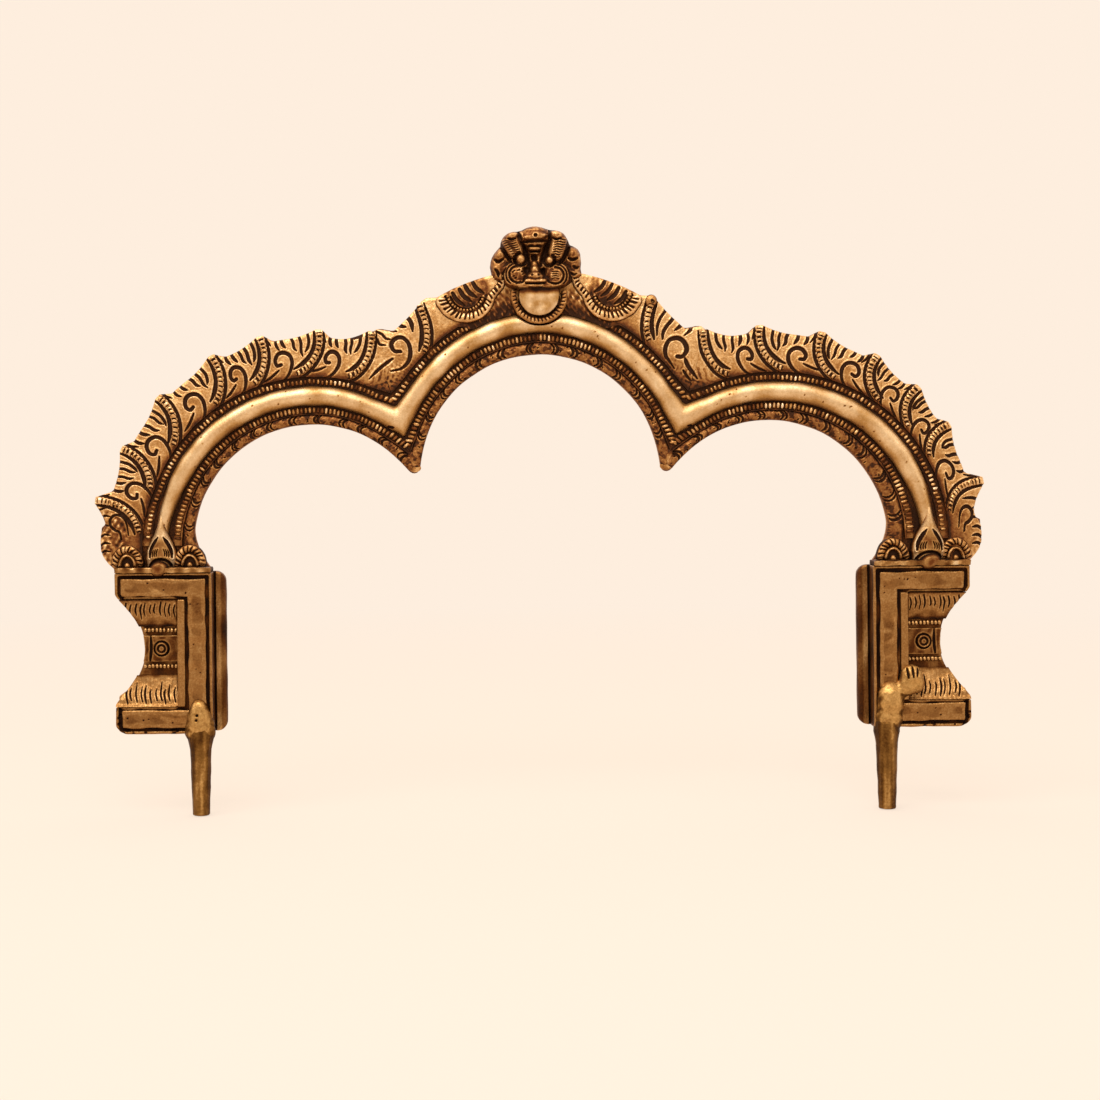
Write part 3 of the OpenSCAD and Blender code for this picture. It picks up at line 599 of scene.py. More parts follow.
# the carved flame field: leaves with curls between ribbed tongues
leafLook = {
    "base": 2.8, "swell": 0.5, "crown": 0.16, "tilt": 0.65, "tiltReach": 8.2, "fullGap": 17, "depth": 0.42,
    "line": 0.74, "ribGrooves": ((-1.2, 0.85, 0.3, 0.5), (1.2, 0.62, 0.75, 0.3)), "eyeR": 2.7,
    "eyeShare": 0.27, "lip": 0.09,
    "curl": ((0.1, 0.1), (-1.1, 0.1), (-1.35, 1.25), (-0.3, 2.5), (1.3, 2.7), (2.8, 1.7), (3.05, -0.1),
             (2.0, -1.9), (0.5, -3.1), (-1.3, -3.7)),
    "stem": ((-0.9, -1.0), (-3.4, -2.1), (-5.8, -2.8)),
    "strokes": ((0.1, ((0, 0), (0.2, -1.5), (0.9, -2.9)), 0.45),
                (0.23, ((0, 0), (0.0, -1.3), (0.6, -2.4)), 0.62),
                (0.37, ((0, 0), (0.2, -1.2), (0.9, -2.2)), 0.66),
                (0.52, ((0, 0), (0.5, -1.3), (0.6, -2.6), (1.2, -3.4)), 0.66),
                (0.66, ((0, 0), (0.5, -1.6), (0.4, -3.1), (0.8, -4.2)), 0.66),
                (0.79, ((0, 0), (0.4, -2.2), (0.0, -3.7), (-0.6, -4.5)), 0.62)),
    "lags": {1: (6.6, 5.0, 6.6, 7.8, 7.8, 7.2, 3.8), -1: (7.8, 7.8, 8.4, 6.6, 5.8, 7.2, 3.8)},
    "crownLeaf": {
        1: ((((35.2, 93.2), (36.3, 93.0), (37.07, 94.0), (37.07, 95.2), (36.1, 96.8), (34.6, 97.5),
              (33.0, 97.1), (32.3, 95.5), (32.6, 93.65), (33.5, 92.4), (34.9, 90.4)), 0.9, 0.8, 0.15),
            (((36.9, 92.6), (37.7, 90.5), (39.3, 87.9)), 0.7, 0.3, 0.3),
            (((36.7, 89.8), (37.3, 88.6), (38.0, 87.4)), 0.4, 0.5, 0.5),
            (((31.4, 105.6), (31.6, 104.0), (30.5, 102.4), (29.9, 100.5), (30.0, 98.5)), 0.62, 0.8, 0.3),
            (((33.7, 104.4), (33.5, 102.1), (32.2, 100.5), (31.4, 99.0), (31.4, 97.6)), 0.78, 0.8, 0.4),
            (((36.0, 102.6), (36.1, 101.15), (35.2, 100.06), (34.1, 99.3)), 0.8, 0.8, 0.25),
            (((37.4, 101.4), (38.0, 100.2), (37.7, 99.0), (36.4, 97.9)), 0.78, 0.8, 0.25)),
        -1: ((((35.2, 94.9), (36.6, 94.9), (37.2, 96.3), (36.3, 97.7), (34.6, 98.2), (33.2, 97.0),
               (33.0, 94.8), (33.8, 92.6), (35.5, 90.9), (37.6, 90.1)), 0.82, 0.8, 0.3),
             (((37.1, 93.1), (39.7, 90.9), (42.2, 88.7)), 0.66, 0.5, 0.2),
             (((33.8, 103.8), (32.2, 102.0), (31.9, 99.8)), 0.9, 0.8, 0.3),
             (((35.6, 102.7), (34.9, 101.0), (33.5, 100.7)), 0.8, 0.8, 0.4),
             (((37.7, 100.2), (36.9, 99.8), (35.7, 99.5)), 0.7, 0.6, 0.3),
             (((40.7, 99.5), (39.3, 98.8), (38.3, 97.7), (37.3, 97.6)), 0.52, 0.9, 0.4),
             (((40.5, 97.6), (39.9, 96.3), (38.5, 96.1)), 0.5, 0.9, 0.4))},
    "crownRib": {1: ((28.3, 97.3), (27.4, 100.2), (27.4, 103.2), (28.5, 107.3)),
                 -1: ((29.8, 95.0), (28.8, 98.0), (28.6, 101.5), (29.9, 106.2))},
    "flaw": ((-46.2, 98.1, 1.0), (-44.7, 98.5, 1.15)),
    "bends": (1.6, 1.5, 1.5, 1.5, 1.8, 2.0, 3.0),
    "bars": {"count": 5, "at": (23.4, 108.0), "step": (-1.7, 0.95),
             "line": ((0, 0), (-1.0, -1.6), (-2.8, -2.7))},
    "loops": {"at": (18.3, 109.2), "radii": (5.2, 3.95), "turn": (3.45, 6.0), "wide": 0.42,
              "shade": (18.3, 109.6)},
    "spring": {"curl": ((105.1, 48.2), (105.5, 49.9), (106.6, 50.5), (107.6, 51.6), (107.7, 53.1),
                        (106.5, 54.3), (104.9, 53.9), (103.9, 52.3), (103.4, 49.2)),
               "edgeX": 110.4, "tipX": 110.2, "edgeZ": (55.6, 53.2, 50.8, 48.5, 46.4, 44.4), "long": 5.2,
               "short": 2.5, "curlWide": {1: 0.8, -1: 0.5}, "strokeWide": {1: 0.62, -1: 0.4}},
}


# a place t mm along and s mm outward from a point of the lobe, as x and z
def beside(centre, r, a, t, s, hand):
    x, z = polar(centre, r, a)
    up = math.radians(a)
    x, z = x + s * math.cos(up) - t * math.sin(up), z + s * math.sin(up) + t * math.cos(up)
    return hand * x, z


# a midrib leaves the beading at a slant and turns outward to its tip
def ribLine(centre, tip, tipR, lag, bend, hand, steps=16):
    a = [polar(centre, arch["field"] + 0.4, tip - lag), polar(centre, arch["field"] + 3.4, tip + bend),
         polar(centre, tipR - 0.4, tip)]
    t = np.linspace(0, 1, steps + 1)[:, None]
    line = (1 - t) ** 2 * np.array(a[0]) + 2 * t * (1 - t) * np.array(a[1]) + t * t * np.array(a[2])
    return line * [hand, 1]


def offsetLine(line, off):
    step = np.gradient(line, axis=0)
    step /= np.linalg.norm(step, axis=1)[:, None]
    return line + off * np.column_stack([-step[:, 1], step[:, 0]])


# one leaf between two tongues: a curl, its stem and strokes along the edge
def leafPaths(centre, low, high, edge, hand, rng):
    wide, grow = min(1.0, (high - low) / leafLook["fullGap"]), rng.uniform(0.92, 1.06)
    eye = low + (leafLook["eyeShare"] + rng.uniform(-0.03, 0.03)) * (high - low)
    r = arch["field"] + leafLook["eyeR"]
    turn = rng.uniform(-8, 8)
    cs, sn = math.cos(math.radians(turn)), math.sin(math.radians(turn))

    def put(t, s):
        return beside(centre, r, eye, wide * grow * (t * cs - s * sn), 0.95 * grow * (t * sn + s * cs), hand)
    curl, stem = ([put(t, s) for t, s in leafLook[kind]] for kind in ("curl", "stem"))
    paths = [smoothLine(curl, leafLook["line"] * rng.uniform(0.95, 1.15), 6, 0.75, 0.2),
             smoothLine(stem, leafLook["line"] * 0.6, 4, 0.5, 0.15)]
    for share, line, width in leafLook["strokes"]:
        a = low + (share + rng.uniform(-0.025, 0.025)) * (high - low)
        out = float(edge(np.array([a]))[0]) + 0.1
        long = rng.uniform(0.85, 1.12)
        points = [beside(centre, out, a, wide * t, s * long, hand) for t, s in line]
        paths.append(smoothLine(points, width * rng.uniform(0.8, 1.15), 4, 0.85, 0.25))
    return paths


ribs, fieldPaths = {1: [], -1: []}, {1: [], -1: [leafLook["flaw"]], 0: []}
rng = np.random.default_rng(41)
for hand in (1, -1):
    tips = arch["tips"][hand]

    def edge(a, hand=hand):
        return sideEdge(a, hand)
    for i, tip in enumerate(tips):
        tipR = float(edge(np.array([float(tip)]))[0])
        lag, bend = leafLook["lags"][hand][i], leafLook["bends"][i]
        ribs[hand].append(ribLine(arch["lobe"], tip, tipR, lag, bend, hand))
        if i:
            fieldPaths[hand] += leafPaths(arch["lobe"], tips[i - 1], tip, edge, hand, rng)
    crownRib = np.array(smoothLine(leafLook["crownRib"][hand], 1.0, 6))[:, :2]
    ribs[hand].append(crownRib * [hand, 1])
    # a groove on each side of a rib: thick below, thin above but thick at the root
    for rib in ribs[hand]:
        for off, width, start, end in leafLook["ribGrooves"]:
            groove = smoothLine(offsetLine(rib, hand * off), width, 2, start, end)
            fieldPaths[hand].append(groove)
            fieldPaths[0].append(groove)
    # the crown's wider leaf, then the slanting bars and the two thin grooves inside each garland
    for line, width, start, end in leafLook["crownLeaf"][hand]:
        cut = smoothLine([(hand * x, z) for x, z in line], width, 5, start, end)
        fieldPaths[0].append(cut)
        fieldPaths[hand].append(cut)
    bars, loops, spring = leafLook["bars"], leafLook["loops"], leafLook["spring"]
    for i in range(bars["count"]):
        x = bars["at"][0] + bars["step"][0] * i + rng.uniform(-0.2, 0.2)
        z = bars["at"][1] + bars["step"][1] * i
        line = [(hand * (x + dx), z + dz) for dx, dz in bars["line"]]
        fieldPaths[0].append(smoothLine(line, rng.uniform(0.7, 1.0), 4, 0.8, 0.3))
    cx, cz = loops["at"]
    for r in loops["radii"]:
        angles = np.linspace(*loops["turn"], 20)
        fieldPaths[0].append([(hand * (cx + r * math.cos(a)), cz + r * math.sin(a), loops["wide"])
                              for a in angles])
    # the springer's own curl and the strokes along its edge
    curl = [(hand * x, z) for x, z in spring["curl"]]
    fieldPaths[hand].append(smoothLine(curl, spring["curlWide"][hand], 5, 0.5, 0.3))
    for z in spring["edgeZ"]:
        x, far = spring["edgeX"], spring["long"] if z == spring["edgeZ"][0] else spring["short"]
        line = [(hand * x, z), (hand * (x - far * 0.5), z + 0.9), (hand * (spring["tipX"] - far), z + 0.7)]
        fieldPaths[hand].append(smoothLine(line, spring["strokeWide"][hand], 4, 0.8, 0.25))


def leafSurface(r, edge, a, x, z, seed):
    out = np.clip((edge - r) / 0.8, 0, 1)
    across = np.clip((r - arch["field"]) / (edge - arch["field"]), 0, 1)
    h = leafLook["base"] + leafLook["swell"] * np.sqrt(np.clip(out * (2 - out), 0, 1))
    slope = leafLook["tilt"] * (1 - across) + leafLook["crown"] * np.sin(math.pi * across)
    h += slope + 0.05 * uneven(x, z, 5, seed) + 0.03 * uneven(x, z, 1.9, seed + 2)
    mitre = np.abs(mitreSide(x, z))
    darkness = 0.5 * np.exp(-np.clip(r - arch["field"], 0, 99) / 0.65) + 0.1 * uneven(x, z, 6, seed + 1)
    corner = 0.3 * np.exp(-mitre / 1.6) * fall(44, 48, r)
    # painted shade: darker towards each side lobe's foot; painted highlight: lighter towards the flame tips
    darkness += 0.2 * fall(2, 24, a) + corner - 0.2 * ease(0.35, 0.95, across) + 0.06
    rusty = np.exp(-mitre / 3.5) * fall(45, 49, r)
    return h, darkness + rusty * (0.6 * ease(0.0, 0.6, uneven(x, z, 0.9, seed + 4)) - 0.1)


def sideField(hand):
    def place(u, v):
        r0, rEnd, spring, footX, drop = arch["field"] - 0.3, 55.2, 0.055, 110.27, 6.5
        w = np.clip((u - spring) / (1 - spring), 0, 1)
        outer = w * (lobeEnd(rEnd) - 0.1)
        e = sideEdge(outer, hand)
        r = r0 + v * (e - r0)
        a = outer + w * (lobeEnd(r0 + v * (rEnd - r0)) - lobeEnd(rEnd))
        x, z = polar(arch["lobe"], r, a)
        # below the lobe's centre the edge curves in to the block
        down = np.clip(1 - u / spring, 0, 1)
        below = u < spring
        z = np.where(below, arch["lobe"][1] - down * drop, z)
        foot = (1 - down * down) * footX + down * down * arch["blockEnd"]
        x = np.where(below, arch["lobe"][0] + r0 + v * (foot - arch["lobe"][0] - r0), x)
        e = np.where(below, foot - arch["lobe"][0], e)
        r = np.where(below, x - arch["lobe"][0], r)
        h, darkness = leafSurface(r, e, a, x, z, 11)
        rough = fall(53, 57, z) * ease(102, 105, x) * (0.16 if hand < 0 else 0.05)
        bumps = uneven(x, z, 1.1, 19)
        h += rough * bumps
        p = np.column_stack([hand * x, h, z])
        soot = chisel(p, fieldPaths[hand], leafLook["depth"], lip=leafLook["lip"])
        return p, np.maximum(darkness + rough * (1.2 - 1.6 * bumps), soot)
    return carvedSheet(place, 900, 92, 2.5, 0.16)


def crownField():
    def place(u, v):
        r0, rEnd = arch["field"] - 0.3, arch["crownEdge"] + 2.6
        start = crownStart(rEnd) + 0.4
        e = crownEdge(start + (180 - 2 * start) * u)
        near = fall(20, 24, np.abs(start + (180 - 2 * start) * u - 90))
        r = r0 - 2.4 * near + v * (e - r0 + 2.4 * near)
        a = 90 + (2 * u - 1) * (90 - (crownStart(r0 + v * (rEnd - r0)) + 0.1))
        x, z = polar(arch["crown"], r, a)
        h, darkness = leafSurface(r, e, 90.0, x, z, 17)
        # scratched and rusty beside the pendant
        rough = np.maximum(near, fall(10, 16, np.abs(x))) * fall(45, 49, r)
        scratch = (0.7 * uneven(x, z, 1.2, 18) + 0.7 * uneven(x + 0.5 * z, z * 0.6, 0.8, 16)
                   + 0.4 * uneven(x, z, 3.0, 15))
        h -= rough * (0.3 + 0.1 * scratch)
        darkness = darkness * (1 - 0.6 * rough) + rough * (0.3 + 0.24 * scratch + 0.25 * fall(41, 45, r))
        p = np.column_stack([x, h, z])
        soot = chisel(p, fieldPaths[0], leafLook["depth"], lip=leafLook["lip"])
        cx, cz = leafLook["loops"]["shade"]
        # painted shade on the field inside each garland
        garlandShade = fall(5.0, 6.4, np.hypot(np.abs(x) - cx, z - cz))
        return p, np.maximum(darkness + (0.42 + 0.16 * uneven(x, z, 1.3, 14)) * garlandShade, soot)
    return carvedSheet(place, 720, 84, 2.5, 0.16)


for hand, side in bothSides:
    finish(sideField(hand), side + "FlameField", fieldBrass, "aged_brass", strays=True)
finish(crownField(), "crownField", fieldBrass, "aged_brass", strays=True)
print("flame field ready")


# how far the field rises towards the beading at a place
def fieldLift(x, z):
    lobeR = np.hypot(np.abs(x) - arch["lobe"][0], z - arch["lobe"][1])
    crownR = np.hypot(x, z - arch["crown"][1])
    r = np.where(mitreSide(x, z) > 0, lobeR, crownR)
    return leafLook["tilt"] * np.clip(1 - (r - arch["field"]) / leafLook["tiltReach"], 0, 1)


# the midribs: flat cords down the tongues, cut across, wider at the tip
ribLook = {"root": 1.3, "tip": 2.05, "h": 3.3, "tall": 0.76, "pitch": 1.04, "bow": 0.2, "wide": 0.29,
           "cut": 0.46, "ink": 1.0, "age": -0.04, "grid": 0.09, "lift": fieldLift}
for hand, side in bothSides:
    cords = joinAll([ribbon(line, ribLook) for line in ribs[hand]])
    finish(cords, side + "FlameRibs", fieldBrass, "aged_brass", [side + "_flame_ribs"], 60, True)
print("flame ribs ready")


# a bead: a small ball, stretched across its row and squared a little
def bead(x, h, z, across, along, tall, turn=0.0, rings=6, square=1.0, segments=10):
    bpy.ops.object.select_all(action="DESELECT")
    bpy.ops.mesh.primitive_uv_sphere_add(segments=segments, ring_count=rings, radius=1)
    obj = bpy.context.object
    if square != 1.0:
        flat = rawPoints(obj).ravel()
        obj.data.vertices.foreach_set("co", np.sign(flat) * np.abs(flat) ** square)
    obj.data.transform(Matrix.Translation(Vector((x, arch["backY"] - h, z)) * mm)
                       @ Matrix.Rotation(-math.radians(turn), 4, "Y")
                       @ Matrix.Diagonal((across * mm, tall * mm, along * mm, 1)))
    return obj


# a row of beads round a lobe: the first is placed and the rest spun from it
def beadArc(centre, r, span, pitch, across, along, tall, h, square=1.0):
    count = int(abs(span[1] - span[0]) * math.pi / 180 * r / pitch)
    x, z = polar(centre, r, span[0])
    row = bead(x, h, z, across, along, tall, span[0], 6, square)
    startEdit(row)
    bpy.ops.mesh.spin(steps=count, dupli=True, angle=math.radians(span[1] - span[0]), use_auto_merge=False,
                      center=(centre[0] * mm, 0, centre[1] * mm), axis=(0, 1, 0))
    endEdit()
    return row


# the channel a bead row lies in: a flat floor with a thin lip on one side
def channel(centre, inner, outer, span, lipAtOuter):
    steps = int(abs(span[1] - span[0]) * 1.2)
    bottom, floorH, lipH, lip = 2.6, 3.12, 3.62, 0.42
    prof = [(inner, bottom), (inner, floorH), (outer - lip, floorH), (outer - lip * 0.75, lipH),
            (outer - lip * 0.25, lipH), (outer, floorH + 0.1), (outer, bottom)]
    if not lipAtOuter:
        prof = [(inner + outer - r, h) for r, h in prof]
    bpy.ops.object.select_all(action="DESELECT")
    bpy.ops.mesh.primitive_circle_add(vertices=len(prof), radius=1, fill_type="NOTHING")
    obj = bpy.context.object
    points = []
    for r, h in prof:
        x, z = polar(centre, r, span[0])
        points.append((x, h, z))
    writePoints(obj, np.array(points))
    startEdit(obj)
    bpy.ops.mesh.edge_face_add()
    bpy.ops.mesh.spin(steps=steps, angle=math.radians(span[1] - span[0]), use_auto_merge=False,
                      center=(centre[0] * mm, 0, centre[1] * mm), axis=(0, 1, 0))
    bpy.ops.mesh.select_all(action="SELECT")
    bpy.ops.mesh.remove_doubles(threshold=0.002 * mm)
    bpy.ops.mesh.normals_make_consistent(inside=False)
    endEdit()
    return obj


# trims a piece of the right side at the plane where the lobes meet
def cutAtMitre(obj, keepLobe):
    mid = Vector((mitreMid[0] * mm, 0, mitreMid[1] * mm))
    up = math.radians(arch["mitre"])
    normal = Vector((math.cos(up), 0, math.sin(up)))
    startEdit(obj)
    bpy.ops.mesh.bisect(plane_co=mid, plane_no=normal, use_fill=True, clear_inner=keepLobe,
                        clear_outer=not keepLobe)
    endEdit()
    return obj


# the beadings: rows of squared beads in a lipped channel, each running to where the lobes meet
beadLook = {
    "outer": {"r": 41.85, "pitch": 1.1, "across": 0.76, "along": 0.37, "tall": 0.55, "h": 3.22,
              "strip": (40.75, 43.5), "endR": 42.0},
    "inner": {"r": 34.3, "pitch": 1.05, "across": 0.98, "along": 0.37, "tall": 0.6, "h": 3.25,
              "strip": (33.0, 35.5), "endR": 34.3},
    "each": 52,                                          # points of one bead
}


# every bead sits a little higher or lower and is more or less clogged with dirt
def beadRow(centre, span, floorSpan, kind, lobe, seed):
    look, rng = beadLook[kind], np.random.default_rng(seed)
    row = beadArc(centre, look["r"], span, look["pitch"], look["across"], look["along"], look["tall"],
                  look["h"], 0.8)
    p = readPoints(row)
    which = np.arange(len(p)) // beadLook["each"]
    count = which.max() + 1
    high = rng.uniform(-0.16, 0.1, count)[which]
    out = np.hypot(p[:, 0] - centre[0], p[:, 2] - centre[1])
    push = 1 + rng.uniform(-0.004, 0.004, count)[which]
    p[:, 0], p[:, 2] = centre[0] + (p[:, 0] - centre[0]) * push, centre[1] + (p[:, 2] - centre[1]) * push
    p[:, 1] += high
    writePoints(row, p)
    clog = np.clip(rng.normal(0.16, 0.16, count), -0.05, 0.55)[which] + 0.2 * patchy(p, 9, seed)
    ends = 0.35 * ease(0.5, 0.85, np.abs(out - look["r"]))
    stainAndShade(row, clog + ends + 0.66 * fall(3.28, 3.6, p[:, 1] - 0.6 * high))
    base = cutAtMitre(channel(centre, *look["strip"], floorSpan, kind == "outer"), lobe)
    startEdit(base)
    bpy.ops.mesh.subdivide(number_cuts=2)
    endEdit()
    p = readPoints(base)
    out = np.hypot(p[:, 0] - centre[0], p[:, 2] - centre[1])
    lip = 0.34 * ease(0.75, 1.1, np.abs(out - sum(look["strip"]) / 2))
    darkness = lip - 0.3 * fall(49, 62, p[:, 2]) + 0.34 + 0.3 * fall(3.15, 3.55, p[:, 1])
    stainAndShade(base, darkness + 0.16 * patchy(p, 3, seed + 5))
    obj = joinAll([row, base])
    dent(obj, 0.06, 2.3, seed)
    return obj


outerStart, innerStart = (float(crownStart(beadLook[kind]["endR"])) + 0.4 for kind in ("outer", "inner"))
for hand, side in bothSides:
    for kind, seed in (("outer", 21), ("inner", 25)):
        end = float(lobeEnd(beadLook[kind]["endR"])) - 0.4
        row = beadRow(arch["lobe"], (3.0, end), (0.0, end + 6), kind, True, seed + hand)
        name, node = side + kind.title() + "Beading", side + "_" + kind + "_beading"
        finish(onSide(row, hand), name, fieldBrass, "aged_brass", [node], 60, True)
    row = beadRow(arch["crown"], (outerStart, 65.0), (outerStart - 6, 66.5), "outer", False, 29 + hand)
    name, node = "crown" + side.title() + "Beading", "crown_" + side + "_beading"
    finish(onSide(row, hand), name, fieldBrass, "aged_brass", [node], 60, True)
span, floorSpan = (innerStart, 89.4), (innerStart - 6, 90.0)
halves = [beadRow(arch["crown"], span, floorSpan, "inner", False, 33 + k) for k in (0, 1)]
both = joinAll([halves[0], flipped(halves[1])])
finish(both, "crownInnerBeading", fieldBrass, "aged_brass", ["crown_inner_beading"], 60, True)
print("beadings ready")


# lumps joined into one skin, as wax runs together
def melt(parts, voxel, rounds):
    return castSkin(joinAll(parts), voxel, rounds)


def pitPaths(rng, count, spots, size):
    paths = []
    for i in range(count):
        x, z = spots(rng)
        wide, turn = size * rng.uniform(0.5, 1.2), rng.uniform(0, math.tau)
        far = 0.3 * wide
        paths.append([(x, z, wide), (x + far * math.cos(turn), z + far * math.sin(turn), wide * 0.7)])
    return paths


# the smooth roll: one casting round the three lobes, slim at the buds, with a few casting pits
rollLook = {"voxel": 0.27, "dent": 0.07, "wave": 6.0, "pits": 46, "pit": 0.3, "scar": (37.0, 76.4),
            "neck": 0.6, "flatAbove": 4.4, "flat": 0.86}
rollNodes = ["left_roll", "crown_roll", "right_roll"]
roll = melt([solidCopy(node, node, 0) for node in rollNodes], rollLook["voxel"], 7)
dent(roll, rollLook["dent"], rollLook["wave"], 31)


def onRoll(rng):
    r, pick = rng.uniform(arch["rollIn"] + 0.6, arch["rollOut"] - 0.6), rng.integers(0, 3)
    if pick == 2:
        return polar(arch["crown"], r, rng.uniform(40, 140))
    return polar(arch["lobe"], r, rng.uniform(8, 115), 1 if pick else -1)


p = readPoints(roll)
rng = np.random.default_rng(34)
soot = 0.7 * chisel(p, pitPaths(rng, rollLook["pits"], onRoll, rollLook["pit"]), 0.14, 0.12, 0.15)
x, z = rollLook["scar"]
scars = [[(-x - 0.4, z + 0.1, 0.55), (-x + 0.4, z - 0.15, 0.6)],
         [(x - 0.3, z - 0.3, 0.4), (x + 0.2, z - 0.1, 0.4)]]
soot = np.maximum(soot, chisel(p, scars, 0.45, 0.12, 0.25))
mid = (arch["rollIn"] + arch["rollOut"]) / 2
inLobe = mitreSide(p[:, 0], p[:, 2]) > 0
out, lift = np.abs(p[:, 0]) - arch["lobe"][0], p[:, 2] - arch["lobe"][1]
r, a = np.hypot(out, np.maximum(lift, 0)), np.degrees(np.arctan2(lift, out))
slim = np.where(inLobe, rollLook["neck"] + (1 - rollLook["neck"]) * ease(3, 34, a), 1.0)
gain = 1 + (mid - r) * (1 - slim) / np.maximum(r, 1)
p[:, 0] = np.where(inLobe, np.sign(p[:, 0]) * (arch["lobe"][0] + out * gain), p[:, 0])
p[:, 2] = np.where(inLobe & (lift > 0), arch["lobe"][1] + lift * gain, p[:, 2])
full = rollLook["flatAbove"]
p[:, 1] = np.where(p[:, 1] > full, full + rollLook["flat"] * (p[:, 1] - full), p[:, 1])
writePoints(roll, p)
rc = np.where(inLobe, r, np.hypot(p[:, 0], p[:, 2] - arch["crown"][1]))
foot = fall(3.0, 3.8, p[:, 1])
# painted shade darkening the roll's inner flank, and a darker band along its outer edge
inner = 0.24 * fall(35.6, 37.6, rc) + 0.14 * ease(39.4, 40.6, rc)
stainAndShade(roll, np.maximum(soot, 0.85 * foot + inner + 0.1 * patchy(p, 8, 31) + 0.06))
finish(roll, "trefoilRoll", rollBrass, "bright_brass", rollNodes, strays=True)
print("roll ready")

# the petal bands: brown strips cut across by pairs of small arcs, ending in plain cusp tips
petalLook = {"rise": 0.75, "every": 5.4, "gap": 1.0, "line": 0.42, "depth": 0.4, "stop": 142.7,
             "footA": 8.0, "footDrop": 5.4, "cusp": (31.75, 66.0),
             "arc": ((1.3, 1.0), (0.7, -0.1), (0, -0.55), (-0.7, -0.3), (-1.15, 0.5)), "foot": 0.075,
             "footWide": 4.71, "footTall": 10.68}


def petalArcs(centre, span, seed):
    paths, r = [], (arch["petalIn"] + arch["petalOut"]) / 2
    count = int((span[1] - span[0]) * math.pi / 180 * r / petalLook["every"])
    rng = np.random.default_rng(seed)
    for i in range(count):
        a = span[0] + (i + 0.5 + rng.uniform(-0.16, 0.16)) * (span[1] - span[0]) / count
        for off in (-0.5, 0.5):
            b = a + math.degrees((off + rng.uniform(-0.1, 0.1)) * petalLook["gap"] / r)
            line = [polar(centre, r + dr, b + da) for dr, da in petalLook["arc"]]
            paths.append(smoothLine(line, petalLook["line"] * rng.uniform(0.7, 1.4), 3, 0.6, 0.4))
    for i in range(count * 2):                           # pits and scars of a rough casting
        x, z = polar(centre, r + rng.uniform(-1.3, 1.4), rng.uniform(*span))
        turn, long = rng.uniform(0, math.tau), rng.uniform(0.1, 0.8)
        x1, z1 = x + long * math.cos(turn), z + long * math.sin(turn)
        paths.append([(x, z, rng.uniform(0.14, 0.3)), (x1, z1, 0.12)])
    return paths


def petalSurface(v, x, z, seed):
    s = 2 * np.clip(v, 0, 1) - 1
    h = arch["plate"] + petalLook["rise"] * np.sqrt(np.clip(1 - 0.96 * s * s, 0, 1))
    h += 0.07 * uneven(x, z, 3, seed) + 0.06 * uneven(x, z, 1.2, seed + 3)
    mottle = ease(0.05, 0.6, uneven(x, z, 2.2, seed + 1) + 0.5 * uneven(x, z, 0.9, seed + 4))
    return h, 0.3 + 0.34 * mottle + 0.45 * ease(0.78, 1.0, v) + 0.1 * fall(0.0, 0.15, v)


def sidePetals(hand):
    def place(u, v):
        foot, footA, drop = petalLook["foot"], petalLook["footA"], petalLook["footDrop"]
        r = arch["petalIn"] + 0.05 + v * (arch["petalOut"] - arch["petalIn"])
        last = np.minimum(lobeEnd(r) - 0.1, petalLook["stop"])
        a = footA + np.clip((u - foot) / (1 - foot), 0, 1) * (last - footA)
        x, z = polar(arch["lobe"], r, a)
        down = np.clip(1 - u / foot, 0, 1)               # the foot widens inward above the block
        low = z - down * drop
        flare = (1 - v) * petalLook["footWide"] * (down * drop / petalLook["footTall"]) ** 2
        x = np.where(u < foot, x - flare, x)
        z = np.where(u < foot, low, z)
        h, darkness = petalSurface(v, x, z, 51 + hand)
        p = np.column_stack([x, h, z])
        soot = chisel(p, petalArcs(arch["lobe"], (4, 140), 55 + hand), petalLook["depth"], 0.12, 0.3, 0.06)
        p[:, 0] *= hand
        return p, np.maximum(darkness, soot)
    return carvedSheet(place, 640, 40, 2.6, 0.12)


def crownPetals():
    def place(u, v):
        r = arch["petalIn"] + 0.05 + v * (arch["petalOut"] - arch["petalIn"])
        start = np.maximum(crownStart(r) + 0.1, 180 + arch["mitre"] * 2 - petalLook["stop"])
        a = start + u * (180 - 2 * start)
        x, z = polar(arch["crown"], r, a)
        h, darkness = petalSurface(v, x, z, 53)
        p = np.column_stack([x, h, z])
        arcs = petalArcs(arch["crown"], (12, 90), 57)
        arcs += [[(-q[0], q[1], q[2]) for q in path] for path in petalArcs(arch["crown"], (12, 90), 59)]
        return p, np.maximum(darkness, chisel(p, arcs, petalLook["depth"], 0.12, 0.3, 0.06))
    return carvedSheet(place, 700, 40, 2.6, 0.12)


for hand, side in bothSides:
    finish(sidePetals(hand), side + "PetalBand", fieldBrass, "aged_brass", [side + "_petal_band"],
           strays=True)
finish(crownPetals(), "crownPetalBand", fieldBrass, "aged_brass", ["crown_petal_band"], strays=True)
# plain tips where the bands meet at the cusps
tips = []
for hand in (1, -1):
    x, z = petalLook["cusp"]
    for i in range(6):
        t = i / 5
        tips.append(bead(hand * (x - 0.35 * (1 - t) + 0.5 * t), 2.9, z - 0.7 + 3.2 * t,
                         1.1 + 0.55 * (1 - t), 1.1, 0.85, 0, 10))
tips = melt(tips, 0.16, 5)
p = readPoints(tips)
stainAndShade(tips, 0.12 + 0.2 * patchy(p, 3, 58) + 0.5 * ease(67.6, 68.8, p[:, 2]))
finish(tips, "cuspTips", fieldBrass, "aged_brass")
